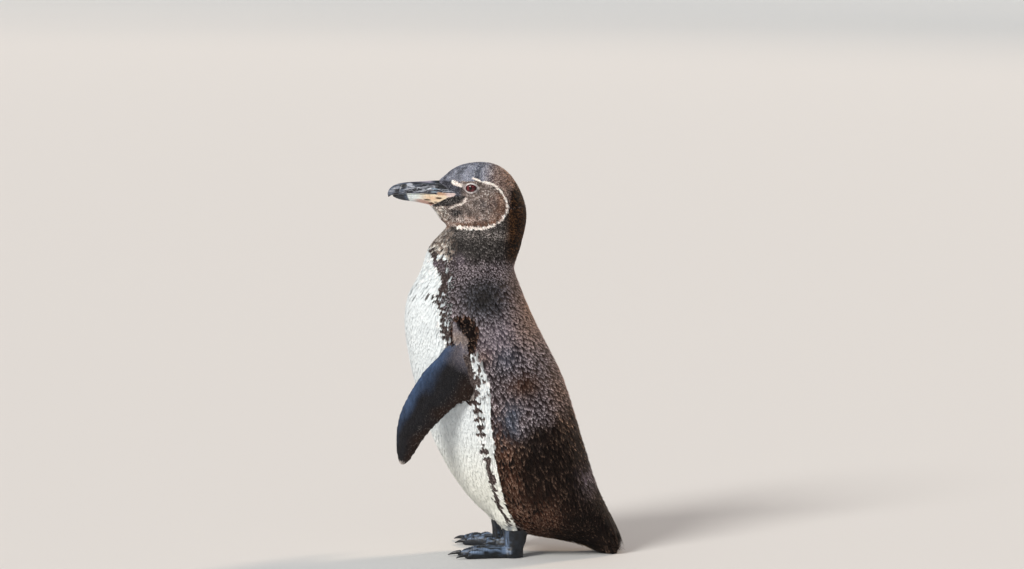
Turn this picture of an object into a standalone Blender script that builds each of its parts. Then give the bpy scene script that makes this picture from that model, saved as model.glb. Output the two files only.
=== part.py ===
# A Galapagos penguin standing on both feet, life size, as closed solids that meet without overlapping.
# Metres, +Z up. The bill points to -Y and the bird's left side is at +X.
# The floor is z = 0, and the origin lies on it under the middle of the bird's length.

import math
from collections import namedtuple

import bpy
import bmesh
from mathutils import Vector

MM = 0.001  # every size below is in millimetres
GAP = 0.3  # left between neighbouring solids
LEFT, RIGHT = 1, -1

# The body is one row of sections from the bill to the tail. Each lies in the plane through a point on
# the back's line and a point on the breast's line: back y, back z, breast y, breast z, half width,
# height of the widest level (0 is the middle, + is towards the back), squareness (2 is an ellipse).
# A part of the body ends at its last section, and the next part starts there.
HEAD = (
    (-65.1, 378.4, -77.6, 354.2, 8.2, -0.05, 2.2),  # bill base
    (-55.7, 388.6, -72.6, 350.8, 12.4, -0.12, 2.1),  # forehead
    (-43.5, 395.4, -69.4, 346.2, 16.6, -0.15, 2.1),  # lores
    (-24.7, 398.5, -66.4, 341.2, 20.0, -0.12, 2.1),  # eyes
    (-6.0, 395.0, -63.4, 338.2, 22.4, -0.08, 2.1),  # ears
    (7.6, 384.0, -61.0, 336.0, 24.2, -0.04, 2.1),  # hind crown
    (17.4, 367.0, -58.8, 334.4, 25.8, 0.0, 2.05),  # nape
    (22.8, 350.4, -57.2, 333.6, 27.2, 0.0, 2.0),  # throat fold
)
NECK = (
    (23.2, 338.0, -62.0, 329.0, 28.6, 0.0, 2.0),
    (19.4, 320.0, -76.0, 314.0, 31.6, 0.0, 2.0),
    (13.0, 300.5, -81.6, 299.5, 36.2, 0.0, 2.0),
    (9.8, 290.6, -84.2, 290.2, 39.0, 0.0, 2.0),
    (13.2, 281.4, -88.6, 281.4, 42.2, 0.0, 2.05),  # neck base
)
TRUNK = (
    (19.8, 262.8, -98.4, 262.8, 49.6, 0.0, 2.1),  # shoulders
    (30.8, 237.6, -101.8, 238.0, 56.6, 0.0, 2.15),
    (43.8, 211.6, -99.4, 212.0, 60.6, -0.02, 2.15),  # keel
    (60.0, 178.2, -92.6, 178.4, 63.0, -0.03, 2.15),
    (73.0, 136.4, -80.4, 136.4, 64.0, -0.04, 2.15),  # belly
    (84.4, 98.6, -63.3, 96.6, 62.6, -0.05, 2.15),
    (93.0, 71.6, -41.8, 63.3, 58.6, -0.05, 2.15),  # thighs
    (97.6, 60.0, -13.8, 34.6, 52.0, -0.02, 2.15),
    (100.6, 54.0, 15.0, 20.6, 45.0, 0.0, 2.2),  # vent
    (103.0, 49.4, 46.0, 14.4, 36.5, 0.05, 2.2),
    (105.4, 44.6, 76.0, 7.6, 27.0, 0.1, 2.2),  # tail base
)
TAIL = (
    (110.8, 33.6, 90.0, 2.0, 22.5, 0.15, 2.2),
    (115.4, 22.0, 100.4, -2.0, 18.0, 0.15, 2.2),
    (117.6, 8.0, 109.0, -3.0, 13.0, 0.1, 2.2),  # tail tip
)
BODY_SIDES = 30
RINGS_BETWEEN = 1  # rings between two listed sections

# The flipper's outline along its span: distance from the shoulder, leading edge, trailing edge, thickness.
FLIPPER = (
    (0.0, -7.0, 10.0, 13.0),
    (14.0, -8.5, 14.0, 12.5),
    (30.0, -14.0, 21.5, 11.0),
    (44.0, -20.0, 29.0, 9.6),
    (53.0, -23.2, 34.5, 8.8),  # elbow
    (60.0, -24.6, 32.8, 8.3),
    (71.0, -26.2, 23.4, 7.7),
    (86.0, -27.9, 16.2, 7.0),  # wrist
    (102.0, -27.4, 9.8, 6.2),
    (118.0, -23.6, 5.6, 5.3),
    (132.0, -18.0, 3.4, 4.3),
    (141.0, -12.2, 1.2, 3.3),
    (145.5, -8.4, -1.6, 2.4),
    (147.0, -6.0, -3.8, 1.8),  # tip
)
SHOULDER = (50.0, -40.0, 231.0)
FLIPPER_SPLAY = math.radians(15)  # outward from the body's side
FLIPPER_BEND = 7.0  # how far the tip curves back towards the body
LEFT_SWING = math.radians(24)  # forward of straight down
RIGHT_SWING = math.radians(-2)
FLIPPER_SIDES, FLIPPER_RINGS = 12, 1

# Bill sections: ridge y, ridge z, cutting edge y, half width. The two halves part on one straight line.
BILL_LINE = ((-71.7, 365.9), (-113.6, 364.4))  # where the halves meet: y, z at the base and the tip
UPPER_BILL = (
    (-65.1, 378.4, -71.7, 8.0),
    (-75.0, 378.4, -79.0, 7.0),
    (-86.0, 378.0, -88.5, 6.1),
    (-98.0, 377.4, -99.5, 5.4),
    (-106.5, 376.0, -107.0, 4.8),
    (-112.0, 373.8, -111.6, 4.0),
    (-115.0, 371.4, -113.6, 3.3),
)
BILL_HOOK = ((-117.0, 368.4, -115.4, 363.2, 2.4), (-117.7, 365.8, -116.9, 362.2, 1.1))
LOWER_BILL = (
    (-77.6, 354.2, -71.7, 8.0),
    (-85.0, 356.6, -82.0, 6.5),
    (-93.5, 358.0, -92.0, 5.5),
    (-101.0, 358.9, -100.5, 4.6),
    (-106.5, 360.2, -106.5, 3.8),
    (-110.4, 361.8, -110.4, 2.5),
    (-112.4, 363.2, -112.4, 1.2),
)
BILL_ARC = 10  # facets over a half's rounded side

EYE_RADIUS = 6.2
EYE_CENTRE = (15.8, -32.6, 373.0)

LEG_HALF_DEPTH, LEG_HALF_WIDTH = 12.0, 8.5
LEG_BOTTOM, LEG_TOP = 10.5, 40.0
THIGH_CENTRE, THIGH_RADII = (3.0, -3.0, 47.0), (18.0, 22.0, 20.0)  # from the ankle, outward and back

Stance = namedtuple("Stance", "word side x y turnout")
STANCES = (
    Stance("left", LEFT, 29.0, 11.0, math.radians(-4)),
    Stance("right", RIGHT, 29.0, -1.0, math.radians(42)),
)
TOE_SPREAD = math.radians(21)
# Name, heading in toe spreads (+ is outward), reach of the toe's tip from the ankle, claw length.
TOES = (("inner", -1.0, 45.0, 8.5), ("middle", 0.0, 59.0, 9.5), ("outer", 0.9, 53.0, 9.0))
TOE_BASE_RADIUS, TOE_TIP_RADIUS = 5.5, 3.6
TOE_START = 2.0  # how far in front of the ankle's middle the toes begin
CLAW_RADIUS = 2.3
WEB_BOTTOM, WEB_TOP = 0.5, 3.6
WEB_SCALLOP = 0.1  # how deep the web's edge curves in between two toes, as a share of their reach
HIND_TOE = ((-9.5, -2.0, 5.4), (-13.5, -12.0, 4.2))  # from, to, in the foot's own frame
SOLE_SINK = 1.0  # how much of each toe is cut off flat by the floor


# ---------------------------------------------------------------- materials


def finish(name, colour, roughness, metallic=0.0):
    material = bpy.data.materials.new(name)
    material.use_nodes = True
    shader = material.node_tree.nodes["Principled BSDF"]
    shader.inputs["Base Color"].default_value = (*colour, 1.0)
    shader.inputs["Roughness"].default_value = roughness
    shader.inputs["Metallic"].default_value = metallic
    return material


# ---------------------------------------------------------------- shapes


def at(x, y, z):
    return Vector((x, y, z)) * MM


def smooth_rows(rows, between):
    """The rows with `between` more put between each two, on a cubic that passes through all of them."""
    knots = [0.0]
    for before, after in zip(rows, rows[1:]):
        knots.append(knots[-1] + max(0.5, math.dist(before[:4], after[:4])))

    def slope(i):
        low, high = max(i - 1, 0), min(i + 1, len(rows) - 1)
        span = knots[high] - knots[low]
        return [(b - a) / span for a, b in zip(rows[low], rows[high])]

    slopes = [slope(i) for i in range(len(rows))]
    made = [tuple(map(float, rows[0]))]
    for i in range(len(rows) - 1):
        span = knots[i + 1] - knots[i]
        for step in range(1, between + 2):
            t = step / (between + 1)
            start, start_pull = 2 * t**3 - 3 * t**2 + 1, (t**3 - 2 * t**2 + t) * span
            end, end_pull = 3 * t**2 - 2 * t**3, (t**3 - t**2) * span
            columns = zip(rows[i], slopes[i], rows[i + 1], slopes[i + 1])
            made.append(
                tuple(start * a + start_pull * ma + end * b + end_pull * mb for a, ma, b, mb in columns)
            )
    return made


def signed_power(value, power):
    return math.copysign(abs(value) ** power, value)


def body_ring(row):
    """One closed section of the body, its points in millimetres."""
    back_y, back_z, front_y, front_z, half_width, widest, squareness = row
    middle = Vector((0, (back_y + front_y) / 2, (back_z + front_z) / 2))
    half_depth = Vector((0, (back_y - front_y) / 2, (back_z - front_z) / 2))
    ring = []
    for k in range(BODY_SIDES):
        angle = math.tau * k / BODY_SIDES
        along = signed_power(math.cos(angle), 2 / squareness)
        across = signed_power(math.sin(angle), 2 / squareness)
        level = along + widest * (1 - along * along)
        ring.append(middle + half_depth * level + Vector((half_width * across, 0, 0)))
    return ring


def moved(ring, distance):
    """The ring moved square to its own plane, towards the bill if distance is positive."""
    back, front = ring[0], ring[BODY_SIDES // 2]
    square = Vector((0, front.z - back.z, back.y - front.y)).normalized()
    return [point + square * distance for point in ring]


def new_object(name, mesh, material):
    body = bpy.data.objects.new(name, mesh)
    bpy.context.scene.collection.objects.link(body)
    if material:
        mesh.materials.append(material)
    return body


def loft(name, rings, material=None):
    """A closed solid through rings of as many points each, in millimetres, with flat ends."""
    shape = bmesh.new()
    loops = [[shape.verts.new(point * MM) for point in ring] for ring in rings]
    count = len(rings[0])
    for near, far in zip(loops, loops[1:]):
        for k in range(count):
            shape.faces.new((near[k], near[(k + 1) % count], far[(k + 1) % count], far[k]))
    shape.faces.new(loops[0])
    shape.faces.new(loops[-1])
    bmesh.ops.recalc_face_normals(shape, faces=shape.faces)
    mesh = bpy.data.meshes.new(name)
    shape.to_mesh(mesh)
    shape.free()
    mesh.shade_smooth()
    mesh.set_sharp_from_angle(angle=math.radians(40))
    return new_object(name, mesh, material)


def ball(name, centre, radii, material=None, segments=16, rings=10):
    shape = bmesh.new()
    bmesh.ops.create_uvsphere(shape, u_segments=segments, v_segments=rings, radius=1.0)
    for vertex in shape.verts:
        vertex.co = Vector([c * r * MM for c, r in zip(vertex.co, radii)])
    mesh = bpy.data.meshes.new(name)
    shape.to_mesh(mesh)
    shape.free()
    mesh.shade_smooth()
    body = new_object(name, mesh, material)
    body.location = at(*centre)
    return body


def slab(name, low, high):
    shape = bmesh.new()
    bmesh.ops.create_cube(shape, size=1.0)
    for vertex in shape.verts:
        vertex.co = at(*(a + (b - a) * (c + 0.5) for a, b, c in zip(low, high, vertex.co)))
    mesh = bpy.data.meshes.new(name)
    shape.to_mesh(mesh)
    shape.free()
    return new_object(name, mesh, None)


def combine(body, helper, operation):
    """Adds a Boolean with a helper that isn't part of the bird."""
    helper.hide_render = True
    helper.display_type = "WIRE"
    modifier = body.modifiers.new(f"{operation.lower()}_{helper.name}", "BOOLEAN")
    modifier.operation = operation
    modifier.solver = "EXACT"
    modifier.object = helper


def tube(centres, radii, sides, flatten=1.0):
    """Rings round a path of points, each square to the path. The rings' height is flatten times their width."""
    rings = []
    for i, centre in enumerate(centres):
        before, after = centres[max(i - 1, 0)], centres[min(i + 1, len(centres) - 1)]
        ahead = (after - before).normalized()
        side = ahead.cross(Vector((0, 0, 1))).normalized()
        up = side.cross(ahead)
        rings.append(
            [
                centre + radii[i] * (side * math.cos(a) + up * flatten * math.sin(a))
                for a in (math.tau * k / sides for k in range(sides))
            ]
        )
    return rings


# ---------------------------------------------------------------- the bird's parts


def body_parts(material):
    """The head, neck, trunk and tail, parted by gaps. They share one smooth row of sections."""
    sections = smooth_rows(HEAD + NECK + TRUNK + TAIL, RINGS_BETWEEN)
    rings = [body_ring(row) for row in sections]
    parts, start = {}, 0
    for name, rows in (("head", HEAD), ("neck", NECK), ("trunk", TRUNK), ("tail", TAIL)):
        end = start + (len(rows) - (name == "head")) * (RINGS_BETWEEN + 1)
        part_rings = rings[start : end + 1]
        if name != "head":
            part_rings[0] = moved(part_rings[0], -GAP / 2)
        if name != "tail":
            part_rings[-1] = moved(part_rings[-1], GAP / 2)
        parts[name] = loft(name, part_rings, material)
        start = end
    return parts


def bill_meeting(y):
    (base_y, base_z), (tip_y, tip_z) = BILL_LINE
    return base_z + (tip_z - base_z) * (y - base_y) / (tip_y - base_y)


def bill_half(name, rows, hook, side, material):
    """Half of the bill, side 1 for the upper and -1 for the lower. Its flat face lies along BILL_LINE."""
    sections = [(ry, rz, ey, bill_meeting(ey) + side * GAP / 2, w) for ry, rz, ey, w in rows]
    sections = smooth_rows(sections + list(hook), 1)
    rings = []
    for ridge_y, ridge_z, edge_y, edge_z, half_width in sections:
        ring = []
        for k in range(BILL_ARC + 1):
            angle = math.pi * k / BILL_ARC
            rise = math.sin(angle) ** 0.85
            ring.append(
                Vector(
                    (
                        half_width * math.cos(angle),
                        edge_y + (ridge_y - edge_y) * rise,
                        edge_z + (ridge_z - edge_z) * rise,
                    )
                )
            )
        rings.append(ring)
    clear = Vector((0, -GAP, 0))  # in front of the feathers
    rings[0] = [point + clear for point in rings[0]]
    return loft(name, rings, material)


def flipper(name, side, swing, material=None, grow=0.0):
    """The flipper as a thin wing section carried down its span, grown all round by `grow`."""
    span = Vector(
        (
            side * math.sin(FLIPPER_SPLAY),
            -math.sin(swing) * math.cos(FLIPPER_SPLAY),
            -math.cos(swing) * math.cos(FLIPPER_SPLAY),
        )
    )
    chord = Vector((0, math.cos(swing), -math.sin(swing)))
    outward = span.cross(chord) * side
    shoulder = Vector((side * SHOULDER[0], SHOULDER[1], SHOULDER[2]))
    reach = FLIPPER[-1][0]
    rings = []
    for distance, leading, trailing, thickness in smooth_rows(FLIPPER, FLIPPER_RINGS):
        middle, half_chord = (leading + trailing) / 2, (trailing - leading) / 2 + grow
        inward = FLIPPER_BEND * (distance / reach) ** 2
        centre = shoulder + span * distance - outward * inward
        ring = []
        for k in range(FLIPPER_SIDES):
            angle = math.tau * k / FLIPPER_SIDES
            back = (1 - math.cos(angle)) / 2  # 0 at the leading edge, 1 at the trailing edge
            rise = (thickness / 2 * (1.25 - 0.75 * back) + grow) * math.sin(angle)
            across = middle - half_chord * math.cos(angle)
            ring.append(centre + chord * across + outward * rise)
        rings.append(ring)
    rings[0] = [point - span * grow for point in rings[0]]
    rings[-1] = [point + span * grow for point in rings[-1]]
    return loft(name, rings, material)


def leg(name, stance, material=None, grow=0.0):
    rings = []
    for height, widen in ((LEG_BOTTOM - grow, 1.0), (20.0, 0.97), (30.0, 1.12), (LEG_TOP + grow, 1.3)):
        ring = []
        for k in range(16):
            angle = math.tau * k / 16
            x = stance.side * stance.x + (LEG_HALF_WIDTH * widen + grow) * math.cos(angle)
            y = stance.y + (LEG_HALF_DEPTH * widen + grow) * math.sin(angle)
            ring.append(Vector((x, y, height)))
        rings.append(ring)
    return loft(name, rings, material)


def on_foot(stance, x, y, z):
    """A point of the foot's own frame, x outward and y back from the ankle, placed in the bird's."""
    out = stance.x + x * math.cos(stance.turnout) - y * math.sin(stance.turnout)
    back = stance.y + x * math.sin(stance.turnout) + y * math.cos(stance.turnout)
    return Vector((stance.side * out, back, z))


def toe_point(heading, reach, z):
    angle = heading * TOE_SPREAD
    return reach * math.sin(angle), -reach * math.cos(angle), z


def claw(name, stance, heading, reach, length, material=None, grow=0.0):
    """A curved claw whose root sits in the toe's tip."""
    root = 4.0  # length hidden in the toe
    centres, radii = [], []
    for share in (0.0, 0.35, 0.6, 0.8, 1.0):
        along = reach - root + share * (length + root)
        drop = 4.4 - 2.9 * share**2
        centres.append(on_foot(stance, *toe_point(heading, along, drop)))
        radii.append(CLAW_RADIUS * (1 - 0.82 * share**1.6) + grow)
    ahead = (centres[-1] - centres[0]).normalized()
    centres[0] -= ahead * grow
    return loft(name, tube(centres, radii, 8), material)


def hind_claw(name, stance, material=None, grow=0.0):
    start, end = (Vector(point) for point in HIND_TOE)
    ahead = (end - start).normalized()
    centres = []
    for distance, sink in ((-1.5 - grow, 0.0), (2.0, 0.4), (5.0, 1.6)):
        centres.append(on_foot(stance, *(end + ahead * distance - Vector((0, 0, sink)))))
    return loft(name, tube(centres, [1.3 + grow, 1.1 + grow, 0.4 + grow], 8), material)


def web_outline():
    """The web's edge, round the toes' tips and scalloped between them, in the foot's own frame."""
    edge = [(-9.0, 2.0)]
    for i, (_, heading, reach, _) in enumerate(TOES):
        tip = reach - TOE_TIP_RADIUS
        edge.append(toe_point(heading, tip, 0)[:2])
        if i + 1 < len(TOES):
            next_heading, next_reach = TOES[i + 1][1], TOES[i + 1][2]
            for share in (0.2, 0.4, 0.6, 0.8):
                between = heading + (next_heading - heading) * share
                straight = tip + (next_reach - TOE_TIP_RADIUS - tip) * share
                scallop = WEB_SCALLOP * math.sin(math.pi * share)
                edge.append(toe_point(between, straight * (1 - scallop), 0)[:2])
    edge.append((9.0, 2.0))
    return edge


def foot(name, stance, material):
    """Three webbed toes, a small hind toe and the ankle, joined, and flat where they meet the floor."""
    ankle_rings = []
    for height, half_width, half_depth in ((-2.0, 11.0, 13.0), (4.0, 11.5, 13.5), (LEG_BOTTOM - GAP, 8.5, 12.0)):
        corners = (math.tau * k / 16 for k in range(16))
        ring = [(half_width * math.cos(a), half_depth * math.sin(a), height) for a in corners]
        ankle_rings.append([on_foot(stance, *point) for point in ring])
    body = loft(name, ankle_rings, material)
    web = [[on_foot(stance, x, y, height) for x, y in web_outline()] for height in (WEB_BOTTOM, WEB_TOP)]
    combine(body, loft(f"{name}_web", web), "UNION")
    for toe, heading, reach, _ in TOES:
        centres, radii = [], []
        for share, plump in ((0.0, 0.9), (0.3, 1.0), (0.5, 0.9), (0.62, 0.96), (0.82, 0.78), (0.93, 0.66)):
            radii.append(TOE_BASE_RADIUS * plump)
            along = TOE_START + (reach - TOE_START) * share
            centres.append(on_foot(stance, *toe_point(heading, along, radii[-1] - SOLE_SINK)))
        radii.append(TOE_TIP_RADIUS * 0.5)
        centres.append(on_foot(stance, *toe_point(heading, reach, TOE_TIP_RADIUS - SOLE_SINK)))
        combine(body, loft(f"{name}_{toe}", tube(centres, radii, 10)), "UNION")
    hind = [on_foot(stance, *point) for point in HIND_TOE]
    combine(body, loft(f"{name}_hind", tube(hind, [3.4, 2.3], 8)), "UNION")
    combine(body, slab(f"{name}_floor", (-160, -160, -20), (160, 160, 0)), "DIFFERENCE")
    return body


def build_feet(skin, horn):
    for stance in STANCES:
        body = foot(f"foot_{stance.word}", stance, skin)
        for toe, heading, reach, length in TOES:
            name = f"claw_{stance.word}_{toe}"
            claw(name, stance, heading, reach, length, horn)
            combine(body, claw(f"{name}_socket", stance, heading, reach, length, grow=GAP), "DIFFERENCE")
        hind_claw(f"claw_{stance.word}_hind", stance, horn)
        combine(body, hind_claw(f"claw_{stance.word}_hind_socket", stance, grow=GAP), "DIFFERENCE")
        leg(f"leg_{stance.word}", stance, skin)


def build_head(head, horn, eye_colour):
    for side, word in ((LEFT, "left"), (RIGHT, "right")):
        centre = (side * EYE_CENTRE[0], EYE_CENTRE[1], EYE_CENTRE[2])
        ball(f"eye_{word}", centre, [EYE_RADIUS] * 3, eye_colour)
        combine(head, ball(f"eye_{word}_socket", centre, [EYE_RADIUS + GAP] * 3), "DIFFERENCE")
    bill_half("bill_upper", UPPER_BILL, BILL_HOOK, 1, horn)
    bill_half("bill_lower", LOWER_BILL, (), -1, horn)


def build_trunk(trunk, flipper_skin):
    for stance in STANCES:
        outward, back, height = THIGH_CENTRE
        centre = (stance.side * (stance.x + outward), stance.y + back, height)
        combine(trunk, ball(f"thigh_{stance.word}", centre, THIGH_RADII), "UNION")
        combine(trunk, leg(f"leg_{stance.word}_socket", stance, grow=GAP), "DIFFERENCE")
    for side, word, swing in ((LEFT, "left", LEFT_SWING), (RIGHT, "right", RIGHT_SWING)):
        flipper(f"flipper_{word}", side, swing, flipper_skin)
        combine(trunk, flipper(f"flipper_{word}_socket", side, swing, grow=GAP), "DIFFERENCE")


def main():
    for old in list(bpy.data.objects):
        bpy.data.objects.remove(old)
    feathers = finish("plumage", (0.05, 0.04, 0.035), 0.7)
    flipper_skin = finish("flipper_scales", (0.02, 0.022, 0.028), 0.5)
    foot_skin = finish("foot_skin", (0.02, 0.025, 0.032), 0.45)
    bill_horn = finish("bill_horn", (0.03, 0.03, 0.035), 0.35)
    claw_horn = finish("claw_horn", (0.015, 0.014, 0.014), 0.4)
    eye_colour = finish("eye", (0.07, 0.015, 0.012), 0.08)
    body = body_parts(feathers)
    build_head(body["head"], bill_horn, eye_colour)
    build_trunk(body["trunk"], flipper_skin)
    combine(body["tail"], slab("tail_floor", (-60, 60, -20), (60, 160, 0)), "DIFFERENCE")
    build_feet(foot_skin, claw_horn)


main()
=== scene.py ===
# Galapagos penguin standing on both feet, life size: its skin, feathers, bill, eyes, claws and feet.
# Metres, +Z up. The bill points to -Y and the bird's left side is at +X.
import math

import bpy
import bmesh
import numpy as np
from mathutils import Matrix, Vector
from mathutils.bvhtree import BVHTree


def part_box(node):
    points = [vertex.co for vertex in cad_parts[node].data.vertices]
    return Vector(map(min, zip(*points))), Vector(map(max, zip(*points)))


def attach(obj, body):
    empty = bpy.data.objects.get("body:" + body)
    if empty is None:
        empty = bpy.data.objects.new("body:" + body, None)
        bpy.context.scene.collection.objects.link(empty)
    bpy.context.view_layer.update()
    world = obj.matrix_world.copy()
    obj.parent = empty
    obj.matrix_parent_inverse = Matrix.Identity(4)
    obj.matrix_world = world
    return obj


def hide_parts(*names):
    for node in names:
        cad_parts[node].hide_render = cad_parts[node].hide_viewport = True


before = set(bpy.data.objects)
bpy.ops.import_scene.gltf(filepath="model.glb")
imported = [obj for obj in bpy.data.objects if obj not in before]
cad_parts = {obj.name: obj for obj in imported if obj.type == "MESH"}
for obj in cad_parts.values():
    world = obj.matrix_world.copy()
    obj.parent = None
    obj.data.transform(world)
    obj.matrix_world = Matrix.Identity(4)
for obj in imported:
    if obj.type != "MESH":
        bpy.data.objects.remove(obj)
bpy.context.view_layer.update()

mm = 0.001
scene = bpy.context.scene
fleshNodes = ("head", "neck", "trunk", "tail", "flipper_left", "flipper_right",
              "leg_left", "leg_right", "foot_left", "foot_right")
# a zone of the skin is the flesh node under it, by its place in that list
headZone, neckZone, trunkZone, tailZone = range(4)
flipperZones, legZones, footZones = [4, 5], [6, 7], [8, 9]  # left, right
bothSides = (1, -1)  # the bird's left, then its right


# small tools: colours, curves, noise and nodes

def linear(hexColour):
    parts = [int(hexColour[i:i + 2], 16) / 255 for i in (1, 3, 5)]
    return tuple(v / 12.92 if v <= 0.04045 else ((v + 0.055) / 1.055) ** 2.4 for v in parts)


def tint(hexColour):
    return np.array(linear(hexColour))


def ramp(value, low, high):  # 0 at low, 1 at high, smooth between
    t = np.clip((value - low) / (high - low), 0, 1)
    return t * t * (3 - 2 * t)


def bell(value, middle, width):
    return np.exp(-((value - middle) / width) ** 2)


def blend(a, b, share):
    return a + (b - a) * np.asarray(share)[..., None]


def unit(vectors):
    return vectors / np.maximum(np.linalg.norm(vectors, axis=-1, keepdims=True), 1e-12)


def hashed(cells, seed):  # one fixed number from 0 to 1 for each cell of a grid
    h = cells[:, 0] * 374761393 + cells[:, 1] * 668265263 + cells[:, 2] * 1274126177 + seed * 97531
    h = h & 0xFFFFFFFF
    h = ((h ^ (h >> 13)) * 1103515245) & 0xFFFFFFFF
    return ((h ^ (h >> 16)) & 0xFFFF) / 65535


def blotches(points, size, seed):  # soft noise from 0 to 1, its blotches about this size
    scaled = points / size
    cells = np.floor(scaled).astype(np.int64)
    part = scaled - cells
    part = part * part * (3 - 2 * part)
    total = np.zeros(len(points))
    for corner in np.ndindex(2, 2, 2):
        share = np.prod(np.where(corner, part, 1 - part), axis=1)
        total += share * hashed(cells + np.array(corner), seed)
    return total


def smoothLine(points, steps=6):  # a soft curve through a few points
    p = np.array(points, float)
    p = np.vstack([2 * p[0] - p[1], p, 2 * p[-1] - p[-2]])
    made = []
    for a, b, c, d in zip(p, p[1:], p[2:], p[3:]):
        for t in np.arange(steps) / steps:
            made.append(b + 0.5 * ((c - a) * t + (2 * a - 5 * b + 4 * c - d) * t ** 2
                                   + (3 * b - a - 3 * c + d) * t ** 3))
    return np.array(made + [p[-2]])


def lineDistance(y, z, line):  # distance in the side view to a line of (y, z) points, and how far along it
    best, along = np.full(len(y), 1e9), np.zeros(len(y))
    for i, (a, b) in enumerate(zip(line, line[1:])):
        dy, dz = b[0] - a[0], b[1] - a[1]
        t = np.clip(((y - a[0]) * dy + (z - a[1]) * dz) / (dy * dy + dz * dz), 0, 1)
        d = np.hypot(y - a[0] - t * dy, z - a[1] - t * dz)
        along = np.where(d < best, (i + t) / (len(line) - 1), along)
        best = np.minimum(best, d)
    return best, along


def addNode(tree, kind, inputs=None, **settings):
    made = tree.nodes.new(kind)
    for name, value in settings.items():
        setattr(made, name, value)
    for name, value in (inputs or {}).items():
        if isinstance(value, bpy.types.NodeSocket):
            tree.links.new(value, made.inputs[name])
        else:
            made.inputs[name].default_value = value
    return made


def newMaterial(name):
    made = bpy.data.materials.new(name)
    made.use_nodes = True
    tree = made.node_tree
    tree.nodes.clear()
    return made, tree


def meshFrom(name, points, faces, colours=None):
    data = bpy.data.meshes.new(name)
    sides = faces.shape[1]
    data.vertices.add(len(points))
    data.vertices.foreach_set("co", np.ascontiguousarray(points, np.float32).ravel())
    data.loops.add(faces.size)
    data.loops.foreach_set("vertex_index", np.ascontiguousarray(faces, np.int32).ravel())
    data.polygons.add(len(faces))
    data.polygons.foreach_set("loop_start", np.arange(0, faces.size, sides, dtype=np.int32))
    data.update(calc_edges=True)
    data.shade_smooth()
    if colours is not None:
        paint(data, colours)
    made = bpy.data.objects.new(name, data)
    scene.collection.objects.link(made)
    return made


def paint(data, colours):
    layer = data.color_attributes.new("plumage", "FLOAT_COLOR", "POINT")
    rgba = np.ones((len(colours), 4), np.float32)
    rgba[:, :3] = np.clip(colours, 0, 1)
    layer.data.foreach_set("color", rgba.ravel())


def pointsOf(data):
    co = np.empty(len(data.vertices) * 3, np.float32)
    data.vertices.foreach_get("co", co)
    return co.reshape(-1, 3).astype(float)


def setPoints(data, points):
    data.vertices.foreach_set("co", np.ascontiguousarray(points, np.float32).ravel())
    data.update()


def normalsOf(data):
    out = np.empty(len(data.vertices) * 3, np.float32)
    data.vertex_normals.foreach_get("vector", out)
    return out.reshape(-1, 3).astype(float)


def edgesOf(data):
    out = np.empty(len(data.edges) * 2, np.int32)
    data.edges.foreach_get("vertices", out)
    return out.reshape(-1, 2)


def cornersOf(data):  # the point at each corner of the faces, and where each face's corners start
    points = np.empty(len(data.loops), np.int32)
    data.loops.foreach_get("vertex_index", points)
    starts = np.empty(len(data.polygons), np.int32)
    data.polygons.foreach_get("loop_start", starts)
    return points, starts


def remeshed(data, voxel):  # one closed surface over all that the mesh holds
    raw = bpy.data.objects.new(data.name, data)
    scene.collection.objects.link(raw)
    remesh = raw.modifiers.new("remesh", "REMESH")
    remesh.mode, remesh.voxel_size = "VOXEL", voxel
    graph = bpy.context.evaluated_depsgraph_get()
    made = bpy.data.meshes.new_from_object(raw.evaluated_get(graph))
    bpy.data.objects.remove(raw)
    return made


def relaxed(values, edges, rounds, share):  # each value drawn towards its neighbours' mean
    values = values.reshape(len(values), -1).copy()
    a, b = edges.T
    count = np.maximum(np.bincount(a, minlength=len(values)) + np.bincount(b, minlength=len(values)), 1)
    for turn in range(rounds):
        mean = np.column_stack([
            (np.bincount(a, column[b], len(values)) + np.bincount(b, column[a], len(values))) / count
            for column in values.T
        ])
        values += (mean - values) * np.reshape(share, (-1, 1))
    return values


# the camera and the studio come first

view = {
    "aim": (-0.0089, 0.0076, 0.2724),  # metres
    "distance": 5.7,
    "elevation": 7.0,  # degrees above the bird's level
    "lens": 198.4,  # mm
}
studio = {
    "flat": 7.0, "rise": 2.5,  # metres: how far the floor runs out flat, and how far it then bends up
    "floor": "#D9D9D8",
    "world": "#E4EAF2",
    "worldStrength": 0.42,
    "key": {"from": (1.0, -1.0, 1.0), "spread": 20, "strength": 2.65, "colour": "#FFFAF3"},
    "rim": {"from": (-0.75, 1.0, 0.75), "spread": 10, "strength": 1.5, "colour": "#FFE0C4"},
}


def makeCamera():
    data = bpy.data.cameras.new("camera")
    data.sensor_width, data.lens = 36, view["lens"]
    data.clip_end = 100
    camera = bpy.data.objects.new("camera", data)
    scene.collection.objects.link(camera)
    aim, tilt = Vector(view["aim"]), math.radians(view["elevation"])
    camera.location = aim + view["distance"] * Vector((math.cos(tilt), 0, math.sin(tilt)))
    camera.rotation_euler = (aim - camera.location).to_track_quat("-Z", "Y").to_euler()
    scene.camera = camera


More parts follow.
